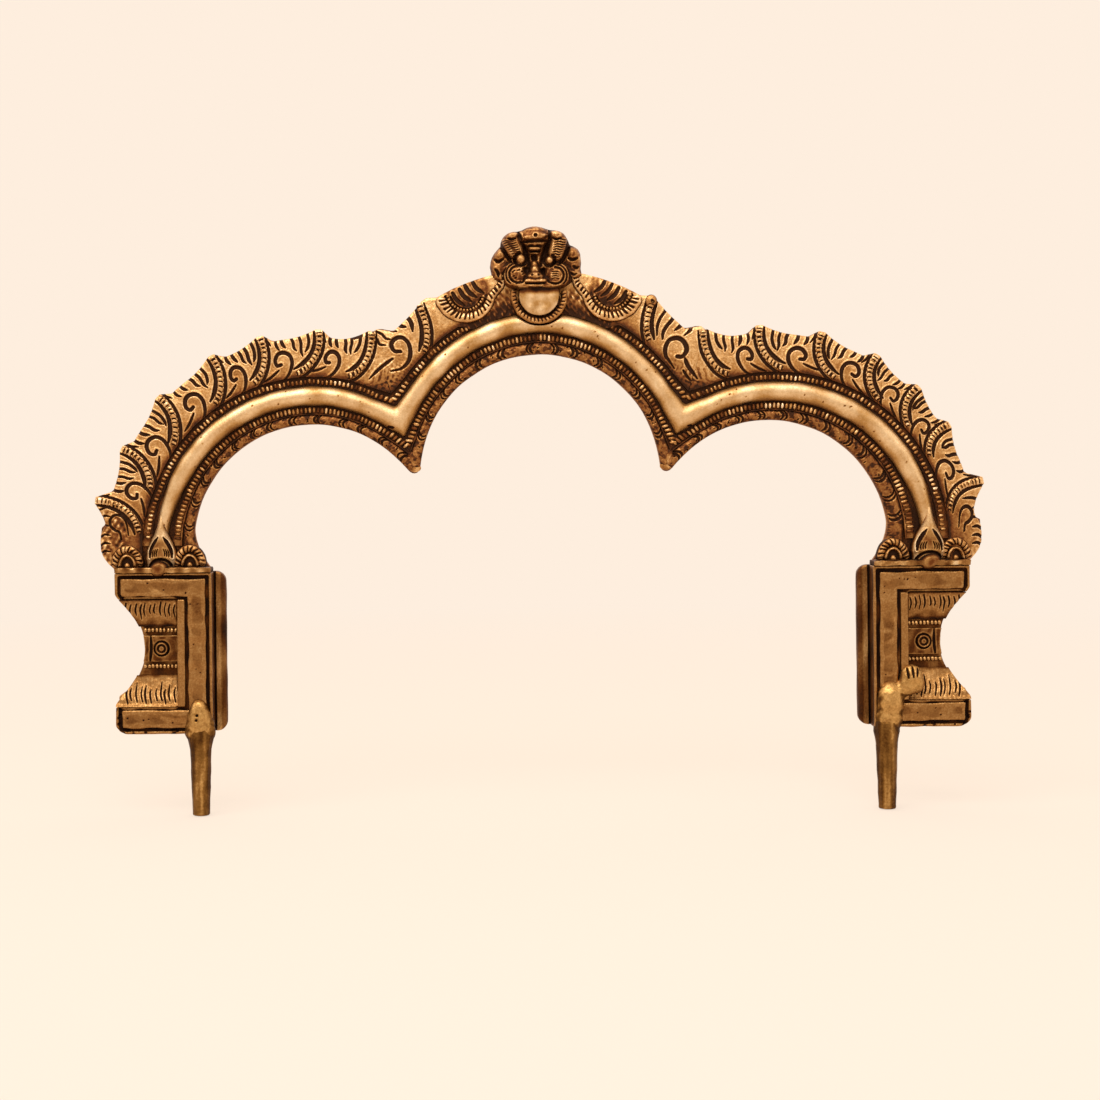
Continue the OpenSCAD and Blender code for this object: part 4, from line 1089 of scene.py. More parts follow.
# a knob that the caster left at the top of the right crown leaf
knobLook = {"at": (28.05, 106.55), "h": 3.6, "wide": 1.55, "tall": 1.1}
kx, kz = knobLook["at"]
wide = knobLook["wide"]
knob = melt([bead(kx, knobLook["h"], kz, wide, wide, knobLook["tall"], 0, 10)], 0.14, 3)
p = readPoints(knob)
cuts = [[(kx + 0.2, kz, 0.6), (kx + 0.4, kz - 0.3, 0.7)],
        [(kx - 0.5, kz - 0.9, 0.3), (kx + 0.4, kz - 1.1, 0.3)]]
soot = chisel(p, cuts, 0.5, 0.16, 0.3)
writePoints(knob, p)
stainAndShade(knob, np.maximum(soot, 0.12 + 0.7 * fall(3.6, 4.3, p[:, 1])))
finish(knob, "crownRibKnob", fieldBrass, "aged_brass", strays=True)
print("petal bands ready")


# the lion mask: broad masses run together, then cut with a chisel; it was never quite even
maskLook = {
    "at": (-0.3, 115.5), "low": -6.3, "high": 9.92, "floor": 2.7, "base": 4.3, "middle": 5.0, "blend": 4.0,
    "turnIn": 1.1, "eyes": ((-4.2, 1.5, 1.15, 1.15), (2.95, 1.15, 0.95, 1.05)), "eyeH": 6.3,
    "brows": (((-7.3, 5.9), (-4.9, 2.3), 1.7), ((6.1, 6.2), (4.5, 1.9), 1.6)),
    "left": ((-6.3, -4.2), (-6.0, -6.0), (-5.5, -7.2), (-5.0, -7.9), (-4.25, -9.4), (-3.25, -10.9),
             (-2.0, -11.5), (-0.25, -11.85), (1.25, -11.65), (2.3, -11.3), (3.25, -10.75), (4.25, -9.9),
             (5.0, -9.2), (5.75, -9.15), (6.5, -8.9), (7.25, -8.5), (7.8, -7.9), (8.25, -7.2), (8.55, -6.2),
             (8.7, -4.6), (9.0, -3.7), (9.4, -3.0), (9.65, -2.3), (9.92, -1.2)),
    "right": ((-6.3, 4.0), (-6.0, 5.6), (-5.5, 6.9), (-4.9, 8.0), (-4.0, 9.2), (-3.2, 10.3), (-2.4, 11.2),
              (-2.0, 11.1), (-0.75, 10.85), (0.75, 11.0), (3.0, 10.8), (4.15, 10.2), (4.85, 9.1),
              (5.2, 8.2), (6.5, 7.7), (8.0, 6.7), (8.5, 6.0), (8.85, 4.9), (9.0, 3.4), (9.2, 2.5),
              (9.65, 1.2), (9.92, -0.2)),
    # each mass: dx, dz, half width, half height, top, how square, how flat, turn
    "masses": ((-0.5, 0.8, 10.5, 8.0, 4.9, 2.5, 2.0, 0), (-0.9, 7.3, 4.5, 3.5, 7.2, 2.3, 2.2, 0),
               (-9.5, 0.6, 2.9, 4.4, 5.2, 2.2, 2.2, 0), (9.0, 1.0, 2.8, 4.2, 5.3, 2.2, 2.2, 0),
               (-9.5, 2.7, 1.8, 1.6, 5.9, 2, 2, 20), (-9.9, -0.5, 1.8, 1.7, 5.7, 2, 2, 0),
               (-9.5, -2.9, 1.8, 1.4, 5.2, 2, 2, 0), (9.0, 3.0, 1.7, 1.8, 6.1, 2, 2, 0),
               (9.2, 0.4, 1.6, 1.3, 5.7, 2, 2, 0), (9.3, -2.0, 1.6, 1.3, 5.4, 2, 2, 0),
               (-5.4, -2.2, 3.7, 3.3, 6.6, 2.4, 2.6, 0), (4.9, -2.5, 3.7, 3.3, 6.6, 2.4, 2.6, 0),
               (-5.0, -2.25, 2.0, 1.9, 6.95, 2, 2.6, 0), (4.35, -2.65, 2.0, 1.9, 6.95, 2, 2.6, 0),
               (-6.2, 5.0, 3.3, 2.15, 7.1, 3, 3.2, -62), (5.1, 4.8, 3.8, 2.0, 7.3, 3, 3.2, -107),
               (-6.6, 7.5, 1.7, 1.15, 7.7, 2, 2, 10), (4.8, 7.5, 1.6, 1.15, 7.9, 2, 2, -15),
               (-0.6, 7.1, 3.2, 1.5, 7.9, 1.4, 2, 6), (-1.9, 5.25, 0.9, 0.45, 6.2, 2, 2, 15),
               (0.5, 5.2, 0.9, 0.45, 6.2, 2, 2, -15), (-0.7, 4.15, 1.5, 0.5, 6.3, 2, 2, 0),
               (-0.7, 3.0, 1.0, 0.4, 5.7, 2, 2, 0), (-0.85, 0.0, 0.75, 1.1, 6.6, 2, 2, 0),
               (-0.75, -1.4, 0.95, 1.4, 7.6, 2, 2, 0), (-0.66, -2.7, 1.3, 0.95, 8.5, 2, 2, 0),
               (-1.8, -2.9, 0.75, 0.65, 7.5, 2, 2, 0), (0.5, -2.9, 0.75, 0.65, 7.5, 2, 2, 0),
               (-0.66, -3.95, 2.8, 0.75, 7.8, 2, 2, 0), (-0.66, -5.05, 2.2, 0.65, 7.2, 2, 2, 0),
               (-4.6, -4.9, 3.6, 1.4, 6.9, 2, 2.4, -8), (3.8, -4.9, 3.6, 1.4, 6.9, 2, 2.4, 8)),
    "deep": (((-3.6, 5.3), (-3.0, 3.6), (-2.4, 1.8), (-2.2, 0.2), 0.9),
             ((2.4, 5.5), (2.0, 3.6), (1.3, 1.8), (0.8, 0.0), 0.9),
             ((-4.0, 5.7), (-0.8, 6.0), (2.7, 6.0), 0.5), ((-2.9, -0.9), (-2.9, -1.7), 1.3),
             ((1.4, -1.2), (1.3, -2.1), 1.2), ((-0.9, 2.2), (-0.8, 1.5), 1.3)),
    "lines": (((-2.5, 4.7), (-1.7, 4.85), (-0.9, 4.7), 0.35), ((-0.4, 4.7), (0.4, 4.85), (1.1, 4.7), 0.35),
              ((-1.9, 3.55), (-0.7, 3.4), (0.6, 3.55), 0.4), ((-0.55, 7.25), (-0.5, 7.35), 0.75),
              ((-4.7, 8.5), (-4.4, 7.3), (-4.0, 6.3), 0.5), ((2.9, 8.9), (3.1, 7.6), (2.9, 6.5), 0.5),
              ((-7.2, 6.5), (-6.4, 6.3), (-5.4, 6.6), 0.45), ((4.0, 6.5), (4.8, 6.3), (5.8, 6.6), 0.4),
              ((-9.0, 4.3), (-7.6, 2.4), (-6.3, 0.7), 0.6), ((7.9, 4.4), (6.7, 2.0), (5.1, -0.1), 0.6),
              ((-10.7, 1.5), (-9.7, 1.0), (-8.5, 1.7), 0.55), ((7.7, 1.7), (8.7, 1.3), (10.0, 1.8), 0.55),
              ((-10.6, -0.9), (-9.9, -1.7), (-9.8, -2.7), 0.6),
              ((8.9, -0.3), (9.7, -0.7), (10.3, -0.4), 0.45), ((8.2, -1.9), (8.9, -2.4), (9.7, -2.2), 0.5),
              ((-1.55, -2.55), (-1.45, -2.6), 0.45), ((0.2, -2.55), (0.25, -2.5), 0.45),
              ((-3.0, -4.5), (-0.7, -4.6), (1.7, -4.5), 0.36),
              ((-2.2, -5.6), (-0.7, -5.75), (0.9, -5.6), 0.3),
              ((-3.4, -3.6), (-3.9, -4.3), (-5.4, -4.6), 0.3), ((2.4, -3.8), (3.0, -4.4), (4.6, -4.8), 0.3),
              ((-7.9, -0.6), (-8.6, -2.2), (-8.4, -4.0), 0.4),
              ((7.4, -0.7), (8.0, -2.4), (7.8, -4.2), 0.4)),
    "rings": ((-4.2, 1.5, 1.5, 100, 410, 0.6), (2.95, 1.15, 1.3, 110, 420, 0.6),
              (-5.0, -2.25, 2.1, 90, 290, 0.4), (-5.0, -2.25, 2.9, 100, 230, 0.3),
              (4.35, -2.65, 2.1, -110, 90, 0.4), (4.35, -2.65, 2.9, -45, 75, 0.3)),
}


def ring(dx, dz, r, start, end, width, steps=18):
    x, z = maskLook["at"]
    angles = [math.radians(start + (end - start) * i / steps) for i in range(steps + 1)]
    return [(x + dx + r * math.cos(a), z + dz + r * math.sin(a), width) for a in angles]


def cutLine(points, width):
    x, z = maskLook["at"]
    return smoothLine([(x + dx, z + dz) for dx, dz in points], width, 5)


# one rounded mass as heights: it falls off beyond its own edge, so neighbours run together
def massHeights(dx, dz, mass):
    mx, mz, wide, tall, top, square, flat, turn = mass
    cs, sn = math.cos(math.radians(turn)), math.sin(math.radians(turn))
    a, b = (dx - mx) * cs + (dz - mz) * sn, (dz - mz) * cs - (dx - mx) * sn
    d = (np.abs(a / wide) ** square + np.abs(b / tall) ** square) ** (1 / square)
    small = min(wide, tall)
    drop = min(top - maskLook["floor"], 1.5 * small)
    dome = np.clip(1 - d ** flat, 0, 1) ** (1 / flat)
    return top - drop * (1 - dome) - 3 * small * np.clip(d - 1, 0, None)


def nearestEdge(dx, dz):
    left, right = np.array(maskLook["left"]), np.array(maskLook["right"])
    loop = np.vstack([left, right[::-1], left[:1]])
    best = np.full(len(dx), chiselLook["far"])
    for (z0, x0), (z1, x1) in zip(loop[:-1], loop[1:]):
        best = np.minimum(best, fromStretch(dx, dz, x0, z0, x1, z1)[1])
    return best


fine = []
for (x0, z0), (x1, z1), wide in maskLook["brows"]:
    for i in range(8):                                   # short wavy ribs across each brow
        dx, dz, half = x0 + (x1 - x0) * i / 7, z0 + (z1 - z0) * i / 7, wide * (1.05 - 0.06 * i)
        wave = ((-half, -0.1), (-0.35 * half, 0.12), (0.35 * half, -0.12), (half, 0.1))
        fine.append(cutLine([(dx + ax, dz + az) for ax, az in wave], 0.28))
rng = np.random.default_rng(61)
for i in range(9):                                       # punched dots on one cheek, short cuts on the other
    a, r = rng.uniform(0, math.tau), 1.35 * rng.uniform(0, 1) ** 0.5
    dx, dz = -5.0 + r * math.cos(a), -2.3 + r * math.sin(a)
    fine.append(cutLine([(dx - 0.2, dz), (dx + 0.2, dz + 0.1)], 0.28))
for i in range(4):
    fine.append(cutLine([(3.5, -1.8 - 0.55 * i), (4.4, -1.7 - 0.55 * i), (5.2, -1.85 - 0.55 * i)], 0.24))
maskSoot = []


def maskPlace(u, v):
    dz = maskLook["low"] + u * (maskLook["high"] - maskLook["low"])
    left, right = np.interp(dz, *zip(*maskLook["left"])), np.interp(dz, *zip(*maskLook["right"]))
    dx = left + v * (right - left)
    blend, middle = maskLook["blend"], maskLook["middle"]
    total = np.exp(blend * (maskLook["base"] - middle)) * np.ones(len(dx))
    for mass in maskLook["masses"]:
        total += np.exp(blend * (massHeights(dx, dz, mass) - middle))
    h = middle + np.log(total) / blend
    x, z = dx + maskLook["at"][0], dz + maskLook["at"][1]
    h += 0.09 * uneven(x, z, 3.0, 64) + 0.05 * uneven(x, z, 1.1, 65)
    near = np.clip(nearestEdge(dx, dz) / maskLook["turnIn"], 0, 1)
    h = maskLook["floor"] + (h - maskLook["floor"]) * np.sqrt(near * (2 - near))
    p = np.column_stack([x, h, z])
    soot = 0.8 * chisel(p, [cutLine(line[:-1], line[-1]) for line in maskLook["deep"]], 1.1, 0.5, 0.9)
    cuts = ([cutLine(line[:-1], line[-1]) for line in maskLook["lines"]]
            + [ring(*r) for r in maskLook["rings"]])
    soot = np.maximum(soot, 0.86 * chisel(p, cuts, 0.6, 0.22, 0.5, 0.08))
    soot = np.maximum(soot, 0.7 * chisel(p, fine, 0.3, 0.14, 0.25, 0.05))
    maskSoot.append(soot)
    return p, soot


head = carvedSheet(maskPlace, 190, 240, 2.6)
p = readPoints(head)
soot = np.concatenate([maskSoot[0], np.full(len(p) - len(maskSoot[0]), 0.8)])
low = hollows(head, 26)
deep = 0.05 + 0.75 * ease(0.0, 0.16, low) - 0.36 * ease(0.01, 0.14, -low)
darkness = 0.45 + deep + 0.4 * fall(2.9, 4.4, p[:, 1]) - 0.16 * ease(6.3, 7.6, p[:, 1])
stainAndShade(head, np.maximum(soot, darkness + 0.12 * patchy(p, 3, 62)))
finish(head, "lionMask", fieldBrass, "aged_brass", ["mask_face", "mask_brows", "mask_ears"], 80)

x, z = maskLook["at"]
balls = [bead(x + dx, maskLook["eyeH"], z + dz, r, r, tall, 0, 10) for dx, dz, r, tall in maskLook["eyes"]]
eyes = joinAll(balls)
smooth = eyes.modifiers.new("round", "SUBSURF")
smooth.levels = smooth.render_levels = 1
applyAll(eyes)
p = readPoints(eyes)
stainAndShade(eyes, 0.06 + 0.8 * fall(6.3, 7.0, p[:, 1]))
finish(eyes, "maskEyes", fieldBrass, "bright_brass", ["mask_eyes"], 80)
print("mask ready")

# the pendant: a flat disc in a rim that is ribbed along its inner half
pendantLook = {"z": 108.0, "rimMid": 6.4, "pitch": 0.95,
               "spoke": ((5.3, 0, 0.36), (6.1, 0.03, 0.3), (6.6, 0.05, 0.12))}
disc = solidCopy("pendant_disc", "pendantDisc", 0.14, 5)
dent(disc, 0.06, 2.5, 66)
p = readPoints(disc)
reach = np.hypot(p[:, 0], p[:, 2] - pendantLook["z"])
p[:, 1] = np.where(p[:, 1] > 5.5, p[:, 1] - 0.4 * ease(3.8, 5.0, reach), p[:, 1])
writePoints(disc, p)
# painted shadow of the mask across the disc's top, and darker where the disc's edge drops back
shade = np.maximum(0.95 * fall(4.6, 5.5, p[:, 1]), 0.7 * ease(108.0, 109.6, p[:, 2]))
stainAndShade(disc, shade + 0.12 + 0.12 * patchy(p, 3, 63))
finish(disc, "pendantDisc", rollBrass, "bright_brass", ["pendant_disc"])
rim = solidCopy("pendant_rim", "pendantRim", 0.13, 4)
dent(rim, 0.08, 2.0, 67)
p = readPoints(rim)
count = int(math.tau * pendantLook["rimMid"] / pendantLook["pitch"])
spokes, hubZ = [], pendantLook["z"]
for i in range(count):
    a = math.tau * i / count
    spoke = [(r * math.cos(a + w), hubZ + r * math.sin(a + w), wide) for r, w, wide in pendantLook["spoke"]]
    spokes.append(spoke)
soot = chisel(p, spokes, 0.32, 0.14, 0.25)
reach = np.hypot(p[:, 0], p[:, 2] - pendantLook["z"])
off = np.abs(reach - pendantLook["rimMid"])
p[:, 1] = np.where(p[:, 1] > 4.5, p[:, 1] - 0.5 * ease(0.25, 0.85, off), p[:, 1])
writePoints(rim, p)
darkness = 0.16 + 0.85 * fall(4.7, 5.5, p[:, 1]) + 0.14 * patchy(p, 3, 68)
stainAndShade(rim, np.maximum(soot * 0.85, darkness))
finish(rim, "pendantRim", fieldBrass, "aged_brass", ["pendant_rim"])

# the garlands: bands hung from the mask's cheeks, plain outside and cut inside, with a fine bead line
garlandLook = {"root": 2.0, "tip": 3.1, "h": 3.5, "tall": 1.25, "pitch": 1.12, "bow": 0.0, "slant": 0.3,
               "wide": 0.36, "cut": 0.52, "ink": 0.92, "age": -0.06, "grid": 0.1, "rim": (-0.5, -0.2),
               "mid": 6.55, "beadR": 4.6, "hang": ((9.5, 114.0), (9.0, 112.4), (9.6, 110.6)),
               "turn": (192, 350)}
for hand, side in bothSides:
    centre = leafLook["loops"]["at"]
    loop = [polar(centre, garlandLook["mid"], a) for a in np.linspace(*garlandLook["turn"], 26)]
    cord = ribbon(np.array(list(garlandLook["hang"]) + loop), garlandLook)
    grain = beadArc(centre, garlandLook["beadR"], (194, 346), 0.78, 0.44, 0.34, 0.5, 3.75)
    p = readPoints(grain)
    p[:, 1] += 0.12 * patchy(p, 1.6, 69 + hand)
    writePoints(grain, p)
    stainAndShade(grain, 0.08 + 0.8 * fall(3.75, 4.05, p[:, 1]))
    whole = joinAll([cord, grain])
    dent(whole, 0.05, 2.6, 70 + hand)
    finish(onSide(whole, hand), side + "Garland", fieldBrass, "aged_brass", [side + "_garland"], 60)
print("pendant and garlands ready")

# the lotus bud: a pointed sheath open at the front, on a small half disc
budLook = {"x": 95.3, "z": 39.9, "tall": 14.2, "disc": 2.3, "discFlat": 9.2,
           "half": ((0, 3.0), (0.1, 3.7), (0.24, 4.1), (0.38, 3.9), (0.52, 3.1), (0.66, 2.0), (0.8, 1.2),
                    (0.92, 0.9), (1, 0.7)),
           "rise": ((0, 2.6), (0.25, 3.2), (0.6, 3.0), (0.85, 2.8), (1, 2.3)),
           "lip": ((0.7, 8.8), (1.8, 7.2), (2.6, 5.5), (2.85, 3.7))}


def budSheet(seed):
    bx, bz = budLook["x"], budLook["z"]

    def place(u, v):
        side = 2 * v - 1
        half = np.interp(u, *zip(*budLook["half"]))
        x, z = bx + side * half, bz + u * budLook["tall"]
        rise, dome = np.interp(u, *zip(*budLook["rise"])), np.sqrt(np.clip(1 - 0.9 * side ** 2, 0, 1))
        h = arch["plate"] + rise * dome + 0.05 * uneven(x, z, 2.5, seed)
        cuts = []
        for s in (-1, 1):
            cuts.append(smoothLine([(bx + s * dx, bz + dz) for dx, dz in budLook["lip"]], 0.75, 5, 0.2, 0.4))
            for i in range(3):
                dx, dz = 2.1 - 0.52 * i, 3.9 + 0.1 * i
                arc = ((dx, dz), (dx + 0.03, dz + 0.8), (dx - 0.3, dz + 1.7))
                cuts.append(smoothLine([(bx + s * ax, bz + az) for ax, az in arc], 0.2, 3))
        cuts.append([(bx + 2.8 * math.cos(a), bz + 1.0 + 2.3 * math.sin(a), 0.6)
                     for a in np.linspace(0.1, 3.04, 12)])
        p = np.column_stack([x, h, z])
        soot = chisel(p, cuts, 0.42, 0.14, 0.35, 0.08)
        inside = fall(0.5, 0.75, np.abs(side)) * fall(0.45, 0.75, u)
        flank = 0.75 * ease(0.86, 1.0, np.abs(side)) * fall(0.75, 0.95, u)
        return p, np.maximum(soot, 0.06 + 0.34 * inside + flank + 0.1 * uneven(x, z, 4, seed))
    return carvedSheet(place, 110, 70, 2.7, 0.12)


for hand, side in bothSides:
    wide = budLook["disc"]
    disc = melt([bead(budLook["x"], 7.0, budLook["z"] + 1.0, 1.1 * wide, 0.85 * wide, 2.9, 0, 10)], 0.16, 2)
    p = readPoints(disc)
    p[:, 1] = np.minimum(p[:, 1], budLook["discFlat"])
    writePoints(disc, p)
    stainAndShade(disc, 0.6 * fall(7.6, 9.0, p[:, 1]) + 0.4 + 0.1 * patchy(p, 2, 74))
    bud = joinAll([budSheet(71 + hand), disc])
    finish(onSide(bud, hand), side + "LotusBud", rollBrass, "bright_brass", [side + "_lotus_bud"],
           strays=True)

# the scrolls beside it: a ribbed arch over a plain ring and an eye
scrollLook = {"outer": 103.4, "inner": 87.8, "z": 41.3, "wide": 3.25, "tall": 4.5, "ringWide": 1.9,
              "ringTall": 2.75, "pad": (2.9, 3.9, 5.0, 1.15), "eye": (3.6, 0.9, 1.25, 1.1),
              "cord": {"root": 2.0, "tip": 2.0, "h": 3.5, "tall": 1.3, "pitch": 1.02, "bow": 0.0,
                       "slant": 0.32, "wide": 0.28, "cut": 0.4, "ink": 0.85, "age": 0.08, "grid": 0.09,
                       "rim": (-0.85, -0.5)},
              "ring": {"root": 0.95, "tip": 0.95, "h": 3.6, "tall": 1.2, "pitch": 9.0, "bow": 0.0,
                       "wide": 0.1, "cut": 0.0, "ink": 0.0, "age": 0.08, "grid": 0.1}}


def halfArch(x, wide, tall, start=-4, end=184):
    a = np.radians(np.linspace(start, end, 30))
    return np.column_stack([x + wide * np.cos(a), scrollLook["z"] + np.maximum(tall * np.sin(a), -0.02)])


def halfDome(x, h, rx, rz, rh, soot):
    obj = bead(x, h, scrollLook["z"] + 0.1, rx, rz, rh, 0, 10, 1.0, 20)
    p = readPoints(obj)
    p[:, 2] = np.maximum(p[:, 2], scrollLook["z"] - 0.02)
    writePoints(obj, p)
    stainAndShade(obj, soot(p))
    return obj


for hand, side in bothSides:
    for place in ("outer", "inner"):
        sx = scrollLook[place]
        parts = [ribbon(halfArch(sx, scrollLook["wide"], scrollLook["tall"]), scrollLook["cord"]),
                 ribbon(halfArch(sx, scrollLook["ringWide"], scrollLook["ringTall"]), scrollLook["ring"]),
                 halfDome(sx, *scrollLook["pad"], lambda p: np.full(len(p), 0.85)),
                 halfDome(sx, *scrollLook["eye"], lambda p: 0.1 + 0.8 * fall(4.0, 4.5, p[:, 1]))]
        whole = joinAll(parts)
        dent(whole, 0.06, 2.4, 80 + hand)
        name, node = side + place.title() + "Scroll", side + "_" + place + "_scroll"
        finish(onSide(whole, hand), name, fieldBrass, "aged_brass", [node], 60)
print("springers ready")

# the foot blocks with their framed waists
blockLook = {"voxel": 0.22, "dent": 0.06, "wave": 6.0, "panelX": 90.5, "waistX": 113.4, "waistR": 14.0,
             "waistZ": 21.0, "end": 106.0, "tighter": 0.2, "round": 5.0}


# widened unevenly to the sides, so the grooves beside it run thin and thick
def spread(obj, by, size, seed):
    p, n = readPoints(obj), outward(obj)
    grow = by * (1 + 0.7 * patchy(p, size, seed))
    p[:, 0] += n[:, 0] * grow
    p[:, 2] += n[:, 2] * grow
    writePoints(obj, p)


# where the hollow waist cuts the block off at a height
def waistLines(z):
    inside = np.clip(blockLook["waistR"] ** 2 - (z - blockLook["waistZ"]) ** 2, 0, None)
    curve, end, soft = blockLook["waistX"] - np.sqrt(inside), blockLook["end"], blockLook["round"]
    hard = np.minimum(end, curve)
    return hard, hard - np.maximum(soft - np.abs(end - curve), 0) ** 2 / (4 * soft)


def waistEdge(z):
    return waistLines(z)[1] - 0.02


# the horns above and below the waist are worn round
def roundOff(p):
    hard, soft = waistLines(p[:, 2])
    near = ease(-7, 0, np.abs(p[:, 0]) - hard)
    p[:, 0] -= np.sign(p[:, 0]) * near * (hard - soft + 0.5 * fall(0, 3, p[:, 2]) ** 2)


# a cove: full at the frame's edge, deep towards the waist, cut with curved strokes
# the age values paint the lower cove, which faces up, much brighter than the upper one: painted light from
# above
coveLook = {"upper": (33.25, 26.5), "lower": (6.8, 14.4), "full": 8.0, "deep": 5.3, "strokes": 11,
            "step": 1.2, "line": 0.28, "depth": 0.28, "from": 91.3, "age": {"upper": -0.04, "lower": -0.38}}


def coveSheet(place):
    edgeZ, deepZ = coveLook[place]
    age, deep, full = coveLook["age"][place], coveLook["deep"], coveLook["full"]
    rng = np.random.default_rng(int(edgeZ))
    reach = deepZ - edgeZ

    def lay(u, v):
        z = edgeZ + v * reach
        x = blockLook["panelX"] + u * (waistEdge(z) - blockLook["panelX"])
        lip = ease(0.0, 0.08, v)
        h = deep + (full - deep) * (1 - v) ** 1.4 - 0.2 * lip * fall(0.1, 0.25, v)
        h += 0.06 * uneven(x, z, 3, 83) + 0.05 * np.sin((x - 91) * math.tau / coveLook["step"])
        cuts = []
        for i in range(coveLook["strokes"]):
            sx = coveLook["from"] + coveLook["step"] * (i + rng.uniform(-0.18, 0.18))
            far, top = rng.uniform(0.5, 0.78), rng.uniform(0.1, 0.2)
            line = [(sx + dx, edgeZ + share * reach) for dx, share in ((-0.1, top), (0.32, 0.4), (0.1, far))]
            cuts.append(smoothLine(line, coveLook["line"] * rng.uniform(0.6, 1.35), 4, 0.7, 0.15))
        p = np.column_stack([x, h, z])
        soot = 0.68 * chisel(p, cuts, coveLook["depth"], 0.14, 0.4, 0.06)
        # painted shade darkening each cove towards the waist, and dark seams along its edges by the frame and
        # the panel
        shadeAndSeams = 0.3 * ease(0.55, 1.0, v) + 0.35 * ease(0.86, 1.0, v)
        shadeAndSeams = shadeAndSeams + 0.5 * fall(0, 0.05, v) + 0.4 * fall(0.0, 0.06, u)
        return p, np.maximum(soot, age + shadeAndSeams + 0.14 * uneven(x, z, 3, 84))
    return carvedSheet(lay, 130, 56, 5.0, 0.12)


# rows of small pearls above and below the waist panel
pearlLook = {"z": (25.6, 16.6), "pitch": 0.95, "h": 5.55, "from": 91.2}


def pearlRows():
    rows = []
    for z in pearlLook["z"]:
        count = int((float(waistEdge(np.array([z]))[0]) - 0.7 - pearlLook["from"]) / pearlLook["pitch"])
        for i in range(count + 1):
            rows.append(bead(pearlLook["from"] + i * pearlLook["pitch"], pearlLook["h"], z, 0.54, 0.62, 0.64))
    obj = joinAll(rows)
    dent(obj, 0.08, 1.7, 85)
    p = readPoints(obj)
    stainAndShade(obj, -0.1 + 0.85 * fall(5.5, 6.0, p[:, 1]))
    return obj


# the slab behind each block: its inner edge is rounded, and a groove runs beside the block
slabLook = {"voxel": 0.3, "dent": 0.08, "wave": 6, "front": (2.0, 2.6), "groove": (81.5, 81.8, 82.3, 82.8),
            "grooveDrop": 0.5, "edge": (78.5, 79.7), "edgeDrop": 1.0, "rim": (79.9, 80.6),
            "edgeDirt": (78.6, 79.2)}
stripLook = {"voxel": 0.17, "dent": 0.13, "wave": 4.5, "upright": (84.2, 87.4), "bars": (88, 103.8),
             "top": (34.8, 37.8), "bottom": (2.4, 6.0)}
panelLook = {"voxel": 0.13, "dent": 0.05, "wave": 2.2, "boss": (94.82, 21.0), "ring": 1.75, "ringWide": 0.34,
             "line": ((97.7, 18.0), (97.4, 21.0), (97.5, 24.0)), "lineWide": 0.55}
ledgeLook = {"voxel": 0.2, "dents": ((0.14, 4), (0.08, 1.6))}

